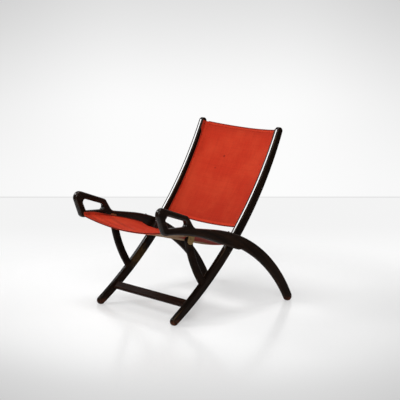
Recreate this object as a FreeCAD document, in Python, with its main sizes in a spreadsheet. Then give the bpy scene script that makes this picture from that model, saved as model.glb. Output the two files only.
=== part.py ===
import FreeCAD, Part
import cmath
import math
import os
from collections import namedtuple
from types import SimpleNamespace

import Sketcher

# Folding armchair with a sling seat and a sling back, in millimetres.
# X runs across the chair with +X the sitter's left, the front is at -Y and +Z is up.
# The origin is on the floor, at the middle of the chair's outline.
# Points of the side view are complex numbers: the real part is Y, the imaginary part is Z.

DIMENSIONS = {
    # Across the chair
    "overall_width": 551.0,
    "rail_thickness": 25.0,
    "stile_thickness": 25.0,
    "strut_thickness": 24.0,
    "side_gap": 1.6,
    "edge_round": 8.0,
    # Main pivot, where rail and stile cross
    "pivot_y": 56.4,
    "pivot_z": 303.0,
    "bolt_diameter": 8.0,
    "bolt_head_diameter": 18.0,
    "bolt_tip_diameter": 13.5,
    "bolt_head_height": 4.5,
    "bush_diameter": 12.0,
    "insert_diameter": 14.0,
    "insert_length": 16.0,
    "washer_diameter": 24.0,
    "washer_thickness": 1.2,
    "running_clearance": 0.06,
    "seat_clearance": 0.02,
    "face_clearance": 0.2,
    "overcut": 1.0,
    # Stile and front leg, one bent piece
    "stile_radius": 1642.0,
    "stile_pitch": 49.1,
    "stile_reach": 517.0,
    "stile_depth": 43.0,
    "stile_top_depth": 32.0,
    "front_foot_depth": 34.0,
    "foot_flat": 1.5,
    # Arm rail: bowed underside, grip loop and curved rear leg in one piece
    "bow_radius": 796.0,
    "bow_pitch": 31.9,
    "pivot_rise": 44.4,
    "boss_radius": 35.0,
    "boss_behind": 14.0,
    "boss_fillet": 30.0,
    "rear_leg_radius": 629.0,
    "rear_leg_pitch": 23.6,
    "rear_leg_rise": 4.0,
    "rear_leg_depth": 50.0,
    "rear_foot_depth": 38.0,
    "grip_chin_ahead": 395.4,
    "grip_chin_radius": 22.0,
    "grip_nose_lead": 20.8,
    "grip_nose_above": 86.0,
    "grip_nose_radius": 27.0,
    "grip_length": 94.4,
    "grip_heel_above": 58.6,
    "grip_heel_radius": 22.0,
    "valley_behind": 66.5,
    "valley_above": 74.0,
    "valley_radius": 40.0,
    "hole_top_behind": 25.6,
    "hole_top_drop": 20.5,
    "hole_low_behind": 17.1,
    "hole_low_above": 40.4,
    "hole_front_radius": 12.0,
    "hole_heel_lead": 9.2,
    "hole_heel_drop": 13.3,
    "hole_heel_radius": 13.0,
    "stud_ahead": 61.0,
    "stud_diameter": 7.0,
    "stud_height": 3.5,
    # Struts between rail and front leg
    "strut_width": 31.0,
    "strut_radius": 480.0,
    "strut_ahead": 238.8,
    "strut_hang": 19.5,
    "strut_station": 228.0,
    "strut_sink": 5.0,
    "strut_clearance": 0.4,
    "strut_gap": 2.2,
    "plate_width": 33.0,
    "plate_rise": 21.0,
    "plate_thickness": 2.0,
    "plate_corner": 5.0,
    "plate_clearance": 0.1,
    "rivet_diameter": 7.0,
    "rivet_head_diameter": 13.0,
    "rivet_tip_diameter": 9.1,
    "rivet_head_height": 2.2,
    "plate_screw_diameter": 3.2,
    "plate_screw_head": 6.4,
    "plate_screw_length": 15.0,
    "plate_screw_spread": 17.0,
    "plate_screw_above": 12.0,
    "stop_diameter": 6.0,
    "stop_depth": 13.0,
    "stop_projection": 13.0,
    "stop_lean": 105.5,
    "stop_clearance": 0.7,
    # Stretcher between the front legs
    "stretcher_station": 338.5,
    "stretcher_width": 35.0,
    "stretcher_thickness": 18.0,
    "stretcher_round": 6.0,
    "tenon_width": 22.0,
    "tenon_thickness": 9.0,
    "tenon_round": 2.0,
    "tenon_length": 16.0,
    "tenon_clearance": 0.1,
    # Slings, each a cover with a lining behind it, fixed by a flange along each side
    "cloth_thickness": 1.2,
    "cloth_gap": 0.2,
    "back_bottom": 74.0,
    "back_top": 520.0,
    "back_sag_bottom": 27.0,
    "back_sag_middle": 33.0,
    "back_sag_top": 34.0,
    "back_flange": 9.0,
    "seat_front": 401.0,
    "seat_middle": 247.0,
    "seat_notch": 76.0,
    "seat_rear": 14.0,
    "seat_sag_front": 24.0,
    "seat_sag_middle": 41.0,
    "seat_sag_rear": 30.0,
    "seat_flange": 10.0,
    "seat_rise": 7.0,
    "seat_rise_rear": 16.0,
    "seat_tail_margin": 10.0,
    # Tacks that hold the flanges
    "tack_head_diameter": 4.5,
    "tack_head_height": 1.0,
    "tack_diameter": 1.6,
    "tack_length": 10.0,
    "tack_pitch": 52.0,
    "tack_inset": 14.0,
}

SIDES = {"left": 1, "right": -1}
TOUCHING = 1e-4
X_AXIS = FreeCAD.Vector(1, 0, 0)
Z_AXIS = FreeCAD.Vector(0, 0, 1)

# Distances from the chair's middle plane
RAIL_MIDDLE = "dims.overall_width / 2 - dims.rail_thickness / 2"
RAIL_INNER = "dims.overall_width / 2 - dims.rail_thickness"
STILE_OUTER = f"{RAIL_INNER} - dims.side_gap"
STILE_MIDDLE = f"{STILE_OUTER} - dims.stile_thickness / 2"
STILE_INNER = f"{STILE_OUTER} - dims.stile_thickness"
PLATE_INNER = f"{RAIL_INNER} + dims.plate_clearance"
PLATE_OUTER = f"{PLATE_INNER} + dims.plate_thickness"
STRUT_OUTER = f"{PLATE_INNER} - dims.strut_gap"
STRUT_MIDDLE = f"{STRUT_OUTER} - dims.strut_thickness / 2"
STRUT_INNER = f"{STRUT_OUTER} - dims.strut_thickness"

# One arc of an outline. The turn is 1 where the outline turns left round it, -1 where it turns right.
# The size, where there is one, is the expression that drives its radius.
Arc = namedtuple("Arc", "centre radius turn size", defaults=(None,))


def direction(degrees):
    """Unit vector of the side view, at an angle from the rear towards up."""
    return cmath.rect(1.0, math.radians(degrees))


def dot(first, second):
    """Scalar product of two side view vectors."""
    return (first * second.conjugate()).real


def meeting(first, second, reach_first, reach_second):
    """The point at these distances from two centres, to the right of the line that joins them."""
    line = second - first
    span = abs(line)
    along = (span**2 + reach_first**2 - reach_second**2) / (2 * span)
    aside = math.sqrt(reach_first**2 - along**2)
    return first + line / span * complex(along, -aside)


def tapered_edges(anchor, normal, half_depth, end_centre, end_radius, grow=0.0):
    """Convex and concave edge of a bent member, from its anchor to where they touch its round end."""
    span = end_centre - anchor
    drop = dot(span, normal)
    square = abs(span) ** 2 + half_depth**2 - end_radius**2
    convex = (square - 2 * half_depth * drop) / (2 * (half_depth - end_radius - drop))
    concave = (square + 2 * half_depth * drop) / (2 * (end_radius - half_depth - drop))
    return (Arc(anchor + (half_depth - convex) * normal, convex + grow, 1),
            Arc(anchor - (half_depth + concave) * normal, concave - grow, -1))


def tangent_points(first, second):
    """Where an outline leaves one arc and lands on the next, on the line that touches both."""
    line = second.centre - first.centre
    offset = second.turn * second.radius - first.turn * first.radius
    length = math.sqrt(max(abs(line) ** 2 - offset**2, 0.0))
    heading = line / complex(length, offset)
    left = 1j * heading / abs(heading)
    return first.centre - first.turn * first.radius * left, second.centre - second.turn * second.radius * left


def through_three(places, values, place):
    """Value at a place on the parabola through three places and their values."""
    total = 0.0
    for i, value in enumerate(values):
        others = [other for j, other in enumerate(places) if j != i]
        total += value * math.prod((place - other) / (places[i] - other) for other in others)
    return total


class SideView:
    """Where things lie in the side view, worked out from the driving dimensions."""

    def __init__(self, d):
        self.d = d
        self.pivot = complex(d.pivot_y, d.pivot_z)
        self.stile_normal = direction(d.stile_pitch - 90)
        self.stile_centre = self.pivot - d.stile_radius * self.stile_normal
        self.bow_centre = self.pivot - (d.bow_radius + d.pivot_rise) * direction(90 - d.bow_pitch)
        self.rear_normal = direction(90 - d.rear_leg_pitch)
        self.rear_anchor = self.pivot + d.rear_leg_rise * self.rear_normal
        self.rear_centre = self.rear_anchor - d.rear_leg_radius * self.rear_normal
        self.boss = Arc(self.pivot + d.boss_behind, d.boss_radius, 1, "dims.boss_radius")
        self.bow = Arc(self.bow_centre, d.bow_radius, -1, "dims.bow_radius")
        self.strut_pin = self.on_bow(d.strut_ahead, -d.strut_hang)
        self.strut_end = self.on_stile(-d.strut_station, d.strut_sink - self.leg_half_depth(d.strut_station))

    def stile_angle(self, along):
        """Slope of the stile's centreline in degrees, at a distance above the pivot."""
        return self.d.stile_pitch + math.degrees(along / self.d.stile_radius)

    def on_stile(self, along, behind=0.0):
        """Point along the stile above the pivot, or below it where negative, and behind its centreline."""
        return self.stile_centre + (self.d.stile_radius + behind) * direction(self.stile_angle(along) - 90)

    def bow_up(self, ahead):
        """Direction square to the rail's bowed underside, at a distance ahead of the pivot."""
        return direction(90 - self.d.bow_pitch + math.degrees(ahead / self.d.bow_radius))

    def on_bow(self, ahead, above=0.0):
        """Point ahead of the pivot along the rail's bowed underside, and above it."""
        return self.bow_centre + (self.d.bow_radius + above) * self.bow_up(ahead)

    def front_foot(self):
        """Centre of the front leg's round foot."""
        height = self.stile_centre.imag - self.d.front_foot_depth / 2 + self.d.foot_flat
        angle = math.degrees(math.acos(height / self.d.stile_radius))
        return self.stile_centre + self.d.stile_radius * direction(angle - 90)

    def rear_foot(self):
        """Centre of the rear leg's round foot."""
        height = self.d.rear_foot_depth / 2 - self.d.foot_flat - self.rear_centre.imag
        angle = math.degrees(math.acos(height / self.d.rear_leg_radius))
        return self.rear_centre + self.d.rear_leg_radius * direction(90 - angle)

    def leg_half_depth(self, below):
        """Half the front leg's depth at a distance below the pivot."""
        share = (below / abs(self.front_foot() - self.pivot)) ** 2
        return (self.d.stile_depth + (self.d.front_foot_depth - self.d.stile_depth) * share) / 2

    def stile_outline(self, grow=0.0):
        """Outline of stile and front leg, deepest at the pivot and round at both ends."""
        d = self.d
        half = d.stile_depth / 2
        foot = Arc(self.front_foot(), d.front_foot_depth / 2, 1)
        top = Arc(self.on_stile(d.stile_reach), d.stile_top_depth / 2, 1)
        low_back, low_front = tapered_edges(self.pivot, self.stile_normal, half,
                                            foot.centre, foot.radius, grow)
        high_back, high_front = tapered_edges(self.pivot, self.stile_normal, half,
                                              top.centre, top.radius, grow)
        foot = foot._replace(radius=foot.radius + grow, size=f"dims.front_foot_depth / 2 + {grow}")
        top = top._replace(radius=top.radius + grow, size=f"dims.stile_top_depth / 2 + {grow}")
        return [foot, low_back, high_back, top, high_front, low_front]

    def rear_leg_edges(self):
        """Upper and lower edge of the rear leg, with its round foot."""
        d = self.d
        foot = Arc(self.rear_foot(), d.rear_foot_depth / 2, 1, "dims.rear_foot_depth / 2")
        upper, lower = tapered_edges(self.rear_anchor, self.rear_normal, d.rear_leg_depth / 2,
                                     foot.centre, foot.radius)
        return upper, lower, foot

    def rail_outline(self):
        """Outline of the arm rail: chin, bowed underside, pivot boss, rear leg, top edge and grip."""
        d = self.d
        upper, lower, foot = self.rear_leg_edges()
        crook = meeting(lower.centre, self.boss.centre, lower.radius - d.boss_fillet,
                        d.boss_radius + d.boss_fillet)
        heel_ahead = d.grip_chin_ahead - d.grip_length
        chin = self.on_bow(d.grip_chin_ahead, d.grip_chin_radius)
        valley = self.on_bow(heel_ahead - d.valley_behind, d.valley_above)
        heel = self.on_bow(heel_ahead, d.grip_heel_above)
        nose = self.on_bow(d.grip_chin_ahead + d.grip_nose_lead, d.grip_nose_above)
        return [Arc(chin, d.grip_chin_radius, 1, "dims.grip_chin_radius"),
                self.bow,
                self.boss,
                Arc(crook, d.boss_fillet, -1, "dims.boss_fillet"),
                lower, foot, upper,
                Arc(valley, d.valley_radius, -1, "dims.valley_radius"),
                Arc(heel, d.grip_heel_radius, 1, "dims.grip_heel_radius"),
                Arc(nose, d.grip_nose_radius, 1, "dims.grip_nose_radius")]

    def grip_hole(self):
        """Outline of the hole that a hand goes through."""
        d = self.d
        top = self.on_bow(d.grip_chin_ahead + d.grip_nose_lead - d.hole_top_behind,
                          d.grip_nose_above - d.hole_top_drop)
        low = self.on_bow(d.grip_chin_ahead - d.hole_low_behind, d.hole_low_above)
        heel = self.on_bow(d.grip_chin_ahead - d.grip_length + d.hole_heel_lead,
                           d.grip_heel_above - d.hole_heel_drop)
        return [Arc(top, d.hole_front_radius, 1, "dims.hole_front_radius"),
                Arc(low, d.hole_front_radius, 1, "dims.hole_front_radius"),
                Arc(heel, d.hole_heel_radius, 1, "dims.hole_heel_radius")]

    def strut_outline(self):
        """Outline of the strut, bent towards the front, from its rivet to just inside the leg."""
        d = self.d
        half = d.strut_width / 2
        centre = meeting(self.strut_end, self.strut_pin, d.strut_radius, d.strut_radius)
        return [Arc(self.strut_pin, half, 1, "dims.strut_width / 2"),
                Arc(centre, d.strut_radius + half, 1, "dims.strut_radius + dims.strut_width / 2"),
                Arc(self.strut_end, half, 1, "dims.strut_width / 2"),
                Arc(centre, d.strut_radius - half, -1, "dims.strut_radius - dims.strut_width / 2")]

    def plate_outline(self, grow=0.0):
        """Outline of the plate that hangs from the rail and carries the strut's rivet."""
        d = self.d
        up = self.bow_up(d.strut_ahead)
        reach = (d.strut_hang + d.plate_rise - d.plate_corner) * up
        aside = (d.plate_width / 2 - d.plate_corner) * up * -1j
        corner = f"dims.plate_corner + {grow}"
        return [Arc(self.strut_pin, d.plate_width / 2 + grow, 1, f"dims.plate_width / 2 + {grow}"),
                Arc(self.strut_pin + reach + aside, d.plate_corner + grow, 1, corner),
                Arc(self.strut_pin + reach - aside, d.plate_corner + grow, 1, corner)]

    def stretcher_section(self, width, thickness, corner):
        """Outline of the stretcher or its tenon, set square to the leg."""
        station = -self.d.stretcher_station
        along = direction(self.stile_angle(station))
        reach = (width / 2 - corner) * along
        aside = (thickness / 2 - corner) * along * 1j
        signs = ((-1, -1), (1, -1), (1, 1), (-1, 1))
        return [Arc(self.on_stile(station) + a * reach + b * aside, corner, 1) for a, b in signs]

    def underside(self, y):
        """Height of the rail's underside ahead of the pivot boss."""
        leave, land = tangent_points(self.bow, self.boss)
        if y > leave.real:
            return leave.imag + (land - leave).imag * (y - leave.real) / (land - leave).real
        return self.bow_centre.imag + math.sqrt(self.d.bow_radius**2 - (y - self.bow_centre.real) ** 2)

    def seat_stations(self):
        """Where the seat leaves the rails at its front, middle and rear, with how far it hangs there."""
        d = self.d
        rows = ((d.seat_front, d.seat_rise, d.seat_sag_front),
                (d.seat_middle, d.seat_rise, d.seat_sag_middle),
                (d.seat_rear, d.seat_rise_rear, d.seat_sag_rear))
        places = [d.pivot_y - ahead for ahead, _, _ in rows]
        return [(complex(y, self.underside(y) + rise), sag) for y, (_, rise, sag) in zip(places, rows)]

    def back_stations(self):
        """Where the back leaves the stiles at its bottom, middle and top, with how far it hangs there."""
        d = self.d
        middle = (d.back_bottom + d.back_top) / 2
        return [(along, sag) for along, sag in ((d.back_bottom, d.back_sag_bottom),
                                                (middle, d.back_sag_middle), (d.back_top, d.back_sag_top))]


def fill_sheet(doc):
    """Put every driving dimension into the sheet, each under its own name, and read them back."""
    sheet = doc.addObject("Spreadsheet::Sheet", "dims")
    for row, (alias, value) in enumerate(DIMENSIONS.items(), 1):
        sheet.set(f"A{row}", alias)
        sheet.set(f"B{row}", str(value))
        sheet.setAlias(f"B{row}", alias)
    doc.recompute()
    return SimpleNamespace(**{alias: float(sheet.get(alias)) for alias in DIMENSIONS})


def across(doc, expression):
    """Value in millimetres of one of the distances from the chair's middle plane."""
    return doc.dims.evalExpression(expression)


def vector(point):
    """Sketch vector of a side view point."""
    return FreeCAD.Vector(point.real, point.imag, 0)


def draw_outline(sketch, arcs):
    """Draw a closed run of tangent arcs, with straight lines where neighbours lie apart."""
    pairs = [tangent_points(arc, arcs[(i + 1) % len(arcs)]) for i, arc in enumerate(arcs)]
    chain = []
    for i, arc in enumerate(arcs):
        enter, leave = pairs[i - 1][1], pairs[i][0]
        ends = (enter, leave) if arc.turn > 0 else (leave, enter)
        start, end = (cmath.phase(point - arc.centre) for point in ends)
        circle = Part.Circle(vector(arc.centre), Z_AXIS, arc.radius)
        drawn = sketch.addGeometry(Part.ArcOfCircle(circle, start, end + 2 * math.pi * (end <= start)), False)
        chain.append((drawn, 1, 2) if arc.turn > 0 else (drawn, 2, 1))
        if arc.size:
            radius = sketch.addConstraint(Sketcher.Constraint("Radius", drawn, arc.radius))
            sketch.setExpression(f"Constraints[{radius}]", arc.size)
        if abs(pairs[i][1] - leave) > TOUCHING:
            line = Part.LineSegment(vector(leave), vector(pairs[i][1]))
            chain.append((sketch.addGeometry(line, False), 1, 2))
    for (one, _, end), (two, start, _) in zip(chain, chain[1:] + chain[:1]):
        sketch.addConstraint(Sketcher.Constraint("Tangent", one, end, two, start))


def side_pad(doc, body, name, outlines, thickness):
    """Pad outlines of the side view to both sides of the body's own YZ plane."""
    sketch = body.newObject("Sketcher::SketchObject", f"{name}_outline")
    plane = next(item for item in body.Origin.OriginFeatures if item.Role == "YZ_Plane")
    sketch.AttachmentSupport = [(plane, "")]
    sketch.MapMode = "FlatFace"
    for arcs in outlines:
        draw_outline(sketch, arcs)
    pad = body.newObject("PartDesign::Pad", name)
    pad.Profile = sketch
    pad.Midplane = True
    pad.setExpression("Length", thickness)
    doc.recompute()
    return pad


def flat_bar(doc, name, outlines, thickness, edge_round=None):
    """A body of even thickness about its YZ plane, with its edges rounded over where asked."""
    body = doc.addObject("PartDesign::Body", name)
    pad = side_pad(doc, body, f"{name}_pad", outlines, thickness)
    if edge_round:
        fillet = body.newObject("PartDesign::Fillet", f"{name}_round")
        fillet.Base = (pad, [""])
        fillet.UseAllEdges = True
        fillet.setExpression("Radius", edge_round)
    return body


def place_across(item, side, offset):
    """Set an item at its distance from the chair's middle plane."""
    item.setExpression("Placement.Base.x", f"{side} * ({offset})")
    return item


def turned(doc, kind, name, base, axis, sizes):
    """A round primitive that stands on a side view point, with its axis in the side view."""
    item = doc.addObject(kind, name)
    for key, expression in sizes.items():
        item.setExpression(key, expression)
    item.Placement = FreeCAD.Placement(FreeCAD.Vector(0, base.real, base.imag),
                                       FreeCAD.Rotation(Z_AXIS, FreeCAD.Vector(0, axis.real, axis.imag)))
    return item


def cross_rod(doc, name, point, side, start, end, diameter):
    """A cylinder along X at a side view point, between two distances from the middle plane."""
    rod = doc.addObject("Part::Cylinder", name)
    rod.setExpression("Radius", f"({diameter}) / 2")
    return lay_across(rod, point, side, start, end)


def cross_cone(doc, name, point, side, start, end, diameters):
    """A cone along X at a side view point, between two distances from the middle plane."""
    cone = doc.addObject("Part::Cone", name)
    for key, diameter in zip(("Radius1", "Radius2"), diameters):
        cone.setExpression(key, f"({diameter}) / 2")
    return lay_across(cone, point, side, start, end)


def lay_across(item, point, side, start, end):
    """Lay a round primitive along X, away from the middle plane."""
    item.setExpression("Height", f"({end}) - ({start})")
    item.Placement = FreeCAD.Placement(FreeCAD.Vector(0, point.real, point.imag),
                                       FreeCAD.Rotation(FreeCAD.Vector(0, 1, 0), 90 * side))
    return place_across(item, side, start)


def fuse(doc, name, shapes):
    """Join shapes into one solid."""
    result = doc.addObject("Part::MultiFuse", name)
    result.Shapes = shapes
    return result


def cut_away(doc, name, base, tools):
    """Take tools out of a base shape."""
    result = doc.addObject("Part::Cut", name)
    result.Base = base
    result.Tool = tools[0] if len(tools) == 1 else fuse(doc, f"{name}_tools", tools)
    return result


def group(doc, name, items):
    """Keep separate solids together in one piece."""
    result = doc.addObject("Part::Compound", name)
    result.Links = items
    return result


def floor_cut(doc, name, d):
    """Everything below the floor, to give a foot its flat sole."""
    box = doc.addObject("Part::Box", name)
    box.setExpression("Length", "2 * dims.overall_width")
    box.setExpression("Width", "2 * dims.stile_radius")
    box.setExpression("Height", "dims.front_foot_depth")
    box.Placement.Base = FreeCAD.Vector(-d.overall_width, -d.stile_radius, -d.front_foot_depth)
    return box


def stop_rod(doc, name, view, side, start, length, diameter):
    """A cylinder along the line on which the strut's foot lifts off its stop."""
    axis = direction(view.d.stop_lean)
    sizes = {"Radius": f"({diameter}) / 2", "Height": length}
    rod = turned(doc, "Part::Cylinder", name, view.strut_end + start * axis, axis, sizes)
    return place_across(rod, side, STILE_MIDDLE)


def stud_rod(doc, name, view, side, start, length, diameter):
    """A cylinder square to the rail's top edge where the stud sits, from a height above that edge."""
    upper, _, _ = view.rear_leg_edges()
    axis = direction(90 - view.d.rear_leg_pitch + math.degrees(view.d.stud_ahead / upper.radius))
    sizes = {"Radius": f"({diameter}) / 2", "Height": length}
    rod = turned(doc, "Part::Cylinder", name, upper.centre + (upper.radius + start) * axis, axis, sizes)
    return place_across(rod, side, RAIL_MIDDLE)


def plate_screw(doc, name, view, side, place, grow):
    """A countersunk screw through the strut's plate into the rail, or its hole where it grows."""
    d = view.d
    up = view.bow_up(d.strut_ahead)
    point = view.on_bow(d.strut_ahead, d.plate_screw_above) + place * d.plate_screw_spread / 2 * up * 1j
    shank = f"dims.plate_screw_diameter + 2 * {grow}"
    tip = f"{PLATE_INNER} + dims.plate_screw_length + {grow}"
    head = cross_cone(doc, f"{name}_head", point, side, PLATE_INNER, PLATE_OUTER,
                      (f"dims.plate_screw_head + 2 * {grow}", shank))
    return fuse(doc, name, [head, cross_rod(doc, f"{name}_shank", point, side, PLATE_INNER, tip, shank)])


def make_stile_leg(doc, view, side):
    """One side of the back: stile and front leg in one bent piece."""
    d = view.d
    bar = flat_bar(doc, "stile_bar", [view.stile_outline()], "dims.stile_thickness", "dims.edge_round")
    bore = cross_rod(doc, "stile_bore", view.pivot, side, f"{STILE_INNER} - dims.overcut",
                     f"{STILE_OUTER} + dims.overcut", "dims.bush_diameter + 2 * dims.seat_clearance")
    room = 2 * d.tenon_clearance
    section = view.stretcher_section(d.tenon_width + room, d.tenon_thickness + room, d.tenon_round)
    mortise = flat_bar(doc, "mortise", [section], "2 * (dims.tenon_length + dims.tenon_clearance)")
    socket = stop_rod(doc, "stop_socket", view, side, -d.stop_depth, "dims.stop_depth + dims.stop_projection",
                      "dims.stop_diameter + 2 * dims.seat_clearance")
    tools = [bore, place_across(mortise, side, STILE_INNER), socket, floor_cut(doc, "front_floor", d)]
    return cut_away(doc, "stile_leg", place_across(bar, side, STILE_MIDDLE), tools)


def make_arm_rail(doc, view, side):
    """One side of the seat: grip, rail and curved rear leg in one piece."""
    d = view.d
    bar = flat_bar(doc, "rail_bar", [view.rail_outline(), view.grip_hole()],
                   "dims.rail_thickness", "dims.edge_round")
    bore = cross_rod(doc, "rail_bore", view.pivot, side, f"{RAIL_INNER} - dims.overcut",
                     f"{RAIL_INNER} + dims.insert_length", "dims.insert_diameter + 2 * dims.seat_clearance")
    recess = flat_bar(doc, "plate_recess", [view.plate_outline(d.plate_clearance)],
                      "2 * (dims.plate_thickness + 2 * dims.plate_clearance)")
    socket = stud_rod(doc, "stud_socket", view, side, -d.stud_diameter, "2 * dims.stud_diameter",
                      "dims.stud_diameter / 2 + 2 * dims.seat_clearance")
    pilots = [plate_screw(doc, "plate_pilot", view, side, place, "dims.seat_clearance") for place in (-1, 1)]
    tools = [bore, place_across(recess, side, RAIL_INNER), socket, floor_cut(doc, "rear_floor", d), *pilots]
    return cut_away(doc, "arm_rail", place_across(bar, side, RAIL_MIDDLE), tools)


def make_strut(doc, view, side):
    """Strut that hangs from the rail and stands on the front leg, cut to fit round the leg's edge."""
    d = view.d
    bar = flat_bar(doc, "strut_bar", [view.strut_outline()], "dims.strut_thickness", "dims.edge_round")
    leg = flat_bar(doc, "strut_mouth", [view.stile_outline(d.strut_clearance)],
                   "dims.stile_thickness + 2 * dims.strut_clearance",
                   "dims.edge_round + dims.strut_clearance")
    bore = cross_rod(doc, "strut_bore", view.strut_pin, side, f"{STRUT_INNER} - dims.overcut",
                     f"{STRUT_OUTER} + dims.overcut", "dims.rivet_diameter + 2 * dims.running_clearance")
    socket = stop_rod(doc, "strut_socket", view, side, -d.stop_depth,
                      "dims.stop_depth + dims.stop_projection + dims.stop_clearance",
                      "dims.stop_diameter + 2 * dims.stop_clearance")
    tools = [place_across(leg, side, STILE_MIDDLE), bore, socket]
    return cut_away(doc, "strut", place_across(bar, side, STRUT_MIDDLE), tools)


def make_strut_plate(doc, view, side):
    """Plate let into the rail's inner face, with a round tongue that carries the strut."""
    plate = flat_bar(doc, "plate_blank", [view.plate_outline()], "dims.plate_thickness")
    bore = cross_rod(doc, "plate_bore", view.strut_pin, side, f"{PLATE_INNER} - dims.overcut",
                     f"{PLATE_OUTER} + dims.overcut", "dims.rivet_diameter + 2 * dims.seat_clearance")
    holes = [plate_screw(doc, "plate_hole", view, side, place, "dims.seat_clearance") for place in (-1, 1)]
    place_across(plate, side, f"{PLATE_INNER} + dims.plate_thickness / 2")
    return cut_away(doc, "strut_plate", plate, [bore, *holes])


def make_strut_rivet(doc, view, side):
    """Rivet through plate and strut, with a collar that keeps them apart."""
    inner = f"{STRUT_INNER} - dims.face_clearance"
    outer = f"{PLATE_OUTER} + dims.seat_clearance"
    head, tip = "dims.rivet_head_diameter", "dims.rivet_tip_diameter"
    pin = view.strut_pin
    return fuse(doc, "strut_rivet", [
        cross_cone(doc, "rivet_tail", pin, side, f"{inner} - dims.rivet_head_height", inner, (tip, head)),
        cross_rod(doc, "rivet_shank", pin, side, inner, outer, "dims.rivet_diameter"),
        cross_rod(doc, "rivet_collar", pin, side, f"{STRUT_OUTER} + dims.face_clearance",
                  f"{PLATE_INNER} - dims.seat_clearance", "dims.rivet_head_diameter"),
        cross_cone(doc, "rivet_head", pin, side, outer, f"{outer} + dims.rivet_head_height", (head, tip))])


def make_strut_stop(doc, view, side):
    """Pin in the leg's front edge that the strut's foot stands over."""
    return stop_rod(doc, "strut_stop", view, side, -view.d.stop_depth,
                    "dims.stop_depth + dims.stop_projection", "dims.stop_diameter")


def make_pivot_bolt(doc, view, side):
    """Bolt that the stile turns on, screwed into the rail, with its head inside the stile."""
    under_head = f"{STILE_INNER} - dims.face_clearance"
    head = cross_cone(doc, "bolt_head", view.pivot, side, f"{under_head} - dims.bolt_head_height", under_head,
                      ("dims.bolt_tip_diameter", "dims.bolt_head_diameter"))
    shank = cross_rod(doc, "bolt_shank", view.pivot, side, under_head,
                      f"{RAIL_INNER} + dims.insert_length - dims.face_clearance", "dims.bolt_diameter")
    return fuse(doc, "pivot_bolt", [head, shank])


def make_ring(doc, name, view, side, start, end, outer, inner):
    """A ring round the main pivot."""
    rim = cross_rod(doc, f"{name}_rim", view.pivot, side, start, end, outer)
    hole = cross_rod(doc, f"{name}_hole", view.pivot, side, f"{start} - dims.overcut",
                     f"{end} + dims.overcut", inner)
    return cut_away(doc, name, rim, [hole])


def make_pivot_bush(doc, view, side):
    """Sleeve in the stile that the bolt turns in."""
    return make_ring(doc, "pivot_bush", view, side, STILE_INNER, STILE_OUTER, "dims.bush_diameter",
                     "dims.bolt_diameter + 2 * dims.running_clearance")


def make_pivot_insert(doc, view, side):
    """Threaded insert in the rail that holds the bolt."""
    return make_ring(doc, "pivot_insert", view, side, RAIL_INNER, f"{RAIL_INNER} + dims.insert_length",
                     "dims.insert_diameter", "dims.bolt_diameter + 2 * dims.seat_clearance")


def make_pivot_washer(doc, view, side):
    """Washer that keeps rail and stile apart."""
    middle = f"{RAIL_INNER} - dims.side_gap / 2"
    return make_ring(doc, "pivot_washer", view, side, f"{middle} - dims.washer_thickness / 2",
                     f"{middle} + dims.washer_thickness / 2", "dims.washer_diameter",
                     "dims.bolt_diameter + 2 * dims.seat_clearance")


def make_stretcher(doc, view):
    """Bar between the front legs, with a tenon at each end."""
    d = view.d
    body = doc.addObject("PartDesign::Body", "stretcher")
    bar = view.stretcher_section(d.stretcher_width, d.stretcher_thickness, d.stretcher_round)
    tenon = view.stretcher_section(d.tenon_width, d.tenon_thickness, d.tenon_round)
    side_pad(doc, body, "stretcher_bar", [bar], f"2 * ({STILE_INNER})")
    side_pad(doc, body, "stretcher_tenon", [tenon], f"2 * ({STILE_INNER} + dims.tenon_length)")
    return body


def make_studs(doc, view):
    """The small round stud on each rail's top edge."""
    studs = []
    for side in SIDES.values():
        shank = stud_rod(doc, "stud_shank", view, side, -view.d.stud_diameter, "dims.stud_diameter",
                         "dims.stud_diameter / 2")
        head = stud_rod(doc, "stud_head", view, side, 0.0, "dims.stud_height", "dims.stud_diameter")
        studs.append(fuse(doc, "stud", [shank, head]))
    return group(doc, "studs", studs)


def make_plate_screws(doc, view):
    """The screws of both strut plates."""
    return group(doc, "plate_screws", [plate_screw(doc, "plate_screw", view, side, place, "0")
                                       for side in SIDES.values() for place in (-1, 1)])


def sling_section(doc, name, origin, hang, half_span, lift, flange, sag):
    """One section of a sling: flat flanges at its sides and an arc that hangs between them."""
    thick = doc.dims.cloth_thickness
    sketch = doc.addObject("Sketcher::SketchObject", name)
    inner = half_span - thick
    corners = [(half_span, -flange), (half_span, -lift), (-half_span, -lift), (-half_span, -flange),
               (-inner, -flange), (-inner, -lift - thick), (inner, -lift - thick), (inner, -flange)]
    points = [FreeCAD.Vector(x, w, 0) for x, w in corners]
    depths = {1: sag - lift, 5: sag - lift - thick}
    count = len(points)
    for i, point in enumerate(points):
        following = points[(i + 1) % count]
        if i in depths:
            sketch.addGeometry(Part.Arc(point, FreeCAD.Vector(0, depths[i], 0), following), False)
        else:
            sketch.addGeometry(Part.LineSegment(point, following), False)
    for edge in (3, 7):
        width = sketch.addConstraint(Sketcher.Constraint("Distance", edge, thick))
        sketch.setExpression(f"Constraints[{width}]", "dims.cloth_thickness")
    rotation = FreeCAD.Rotation(X_AXIS, FreeCAD.Vector(0, hang.real, hang.imag),
                                FreeCAD.Vector(0, -hang.imag, hang.real), "XYZ")
    sketch.Placement = FreeCAD.Placement(FreeCAD.Vector(0, origin.real, origin.imag), rotation)
    return sketch


def make_sling(doc, name, stations, half_span, layer, flange):
    """A sheet lofted through its stations. Layer 0 is the lining and layer 1 the cover over it."""
    step = layer * (doc.dims.cloth_thickness + doc.dims.cloth_gap)
    loft = doc.addObject("Part::Loft", name)
    loft.Sections = [sling_section(doc, f"{name}_section", origin, hang,
                                   half_span - doc.dims.cloth_gap - step, step, flange, sag)
                     for origin, hang, sag in stations]
    loft.Solid = True
    return loft


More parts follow.
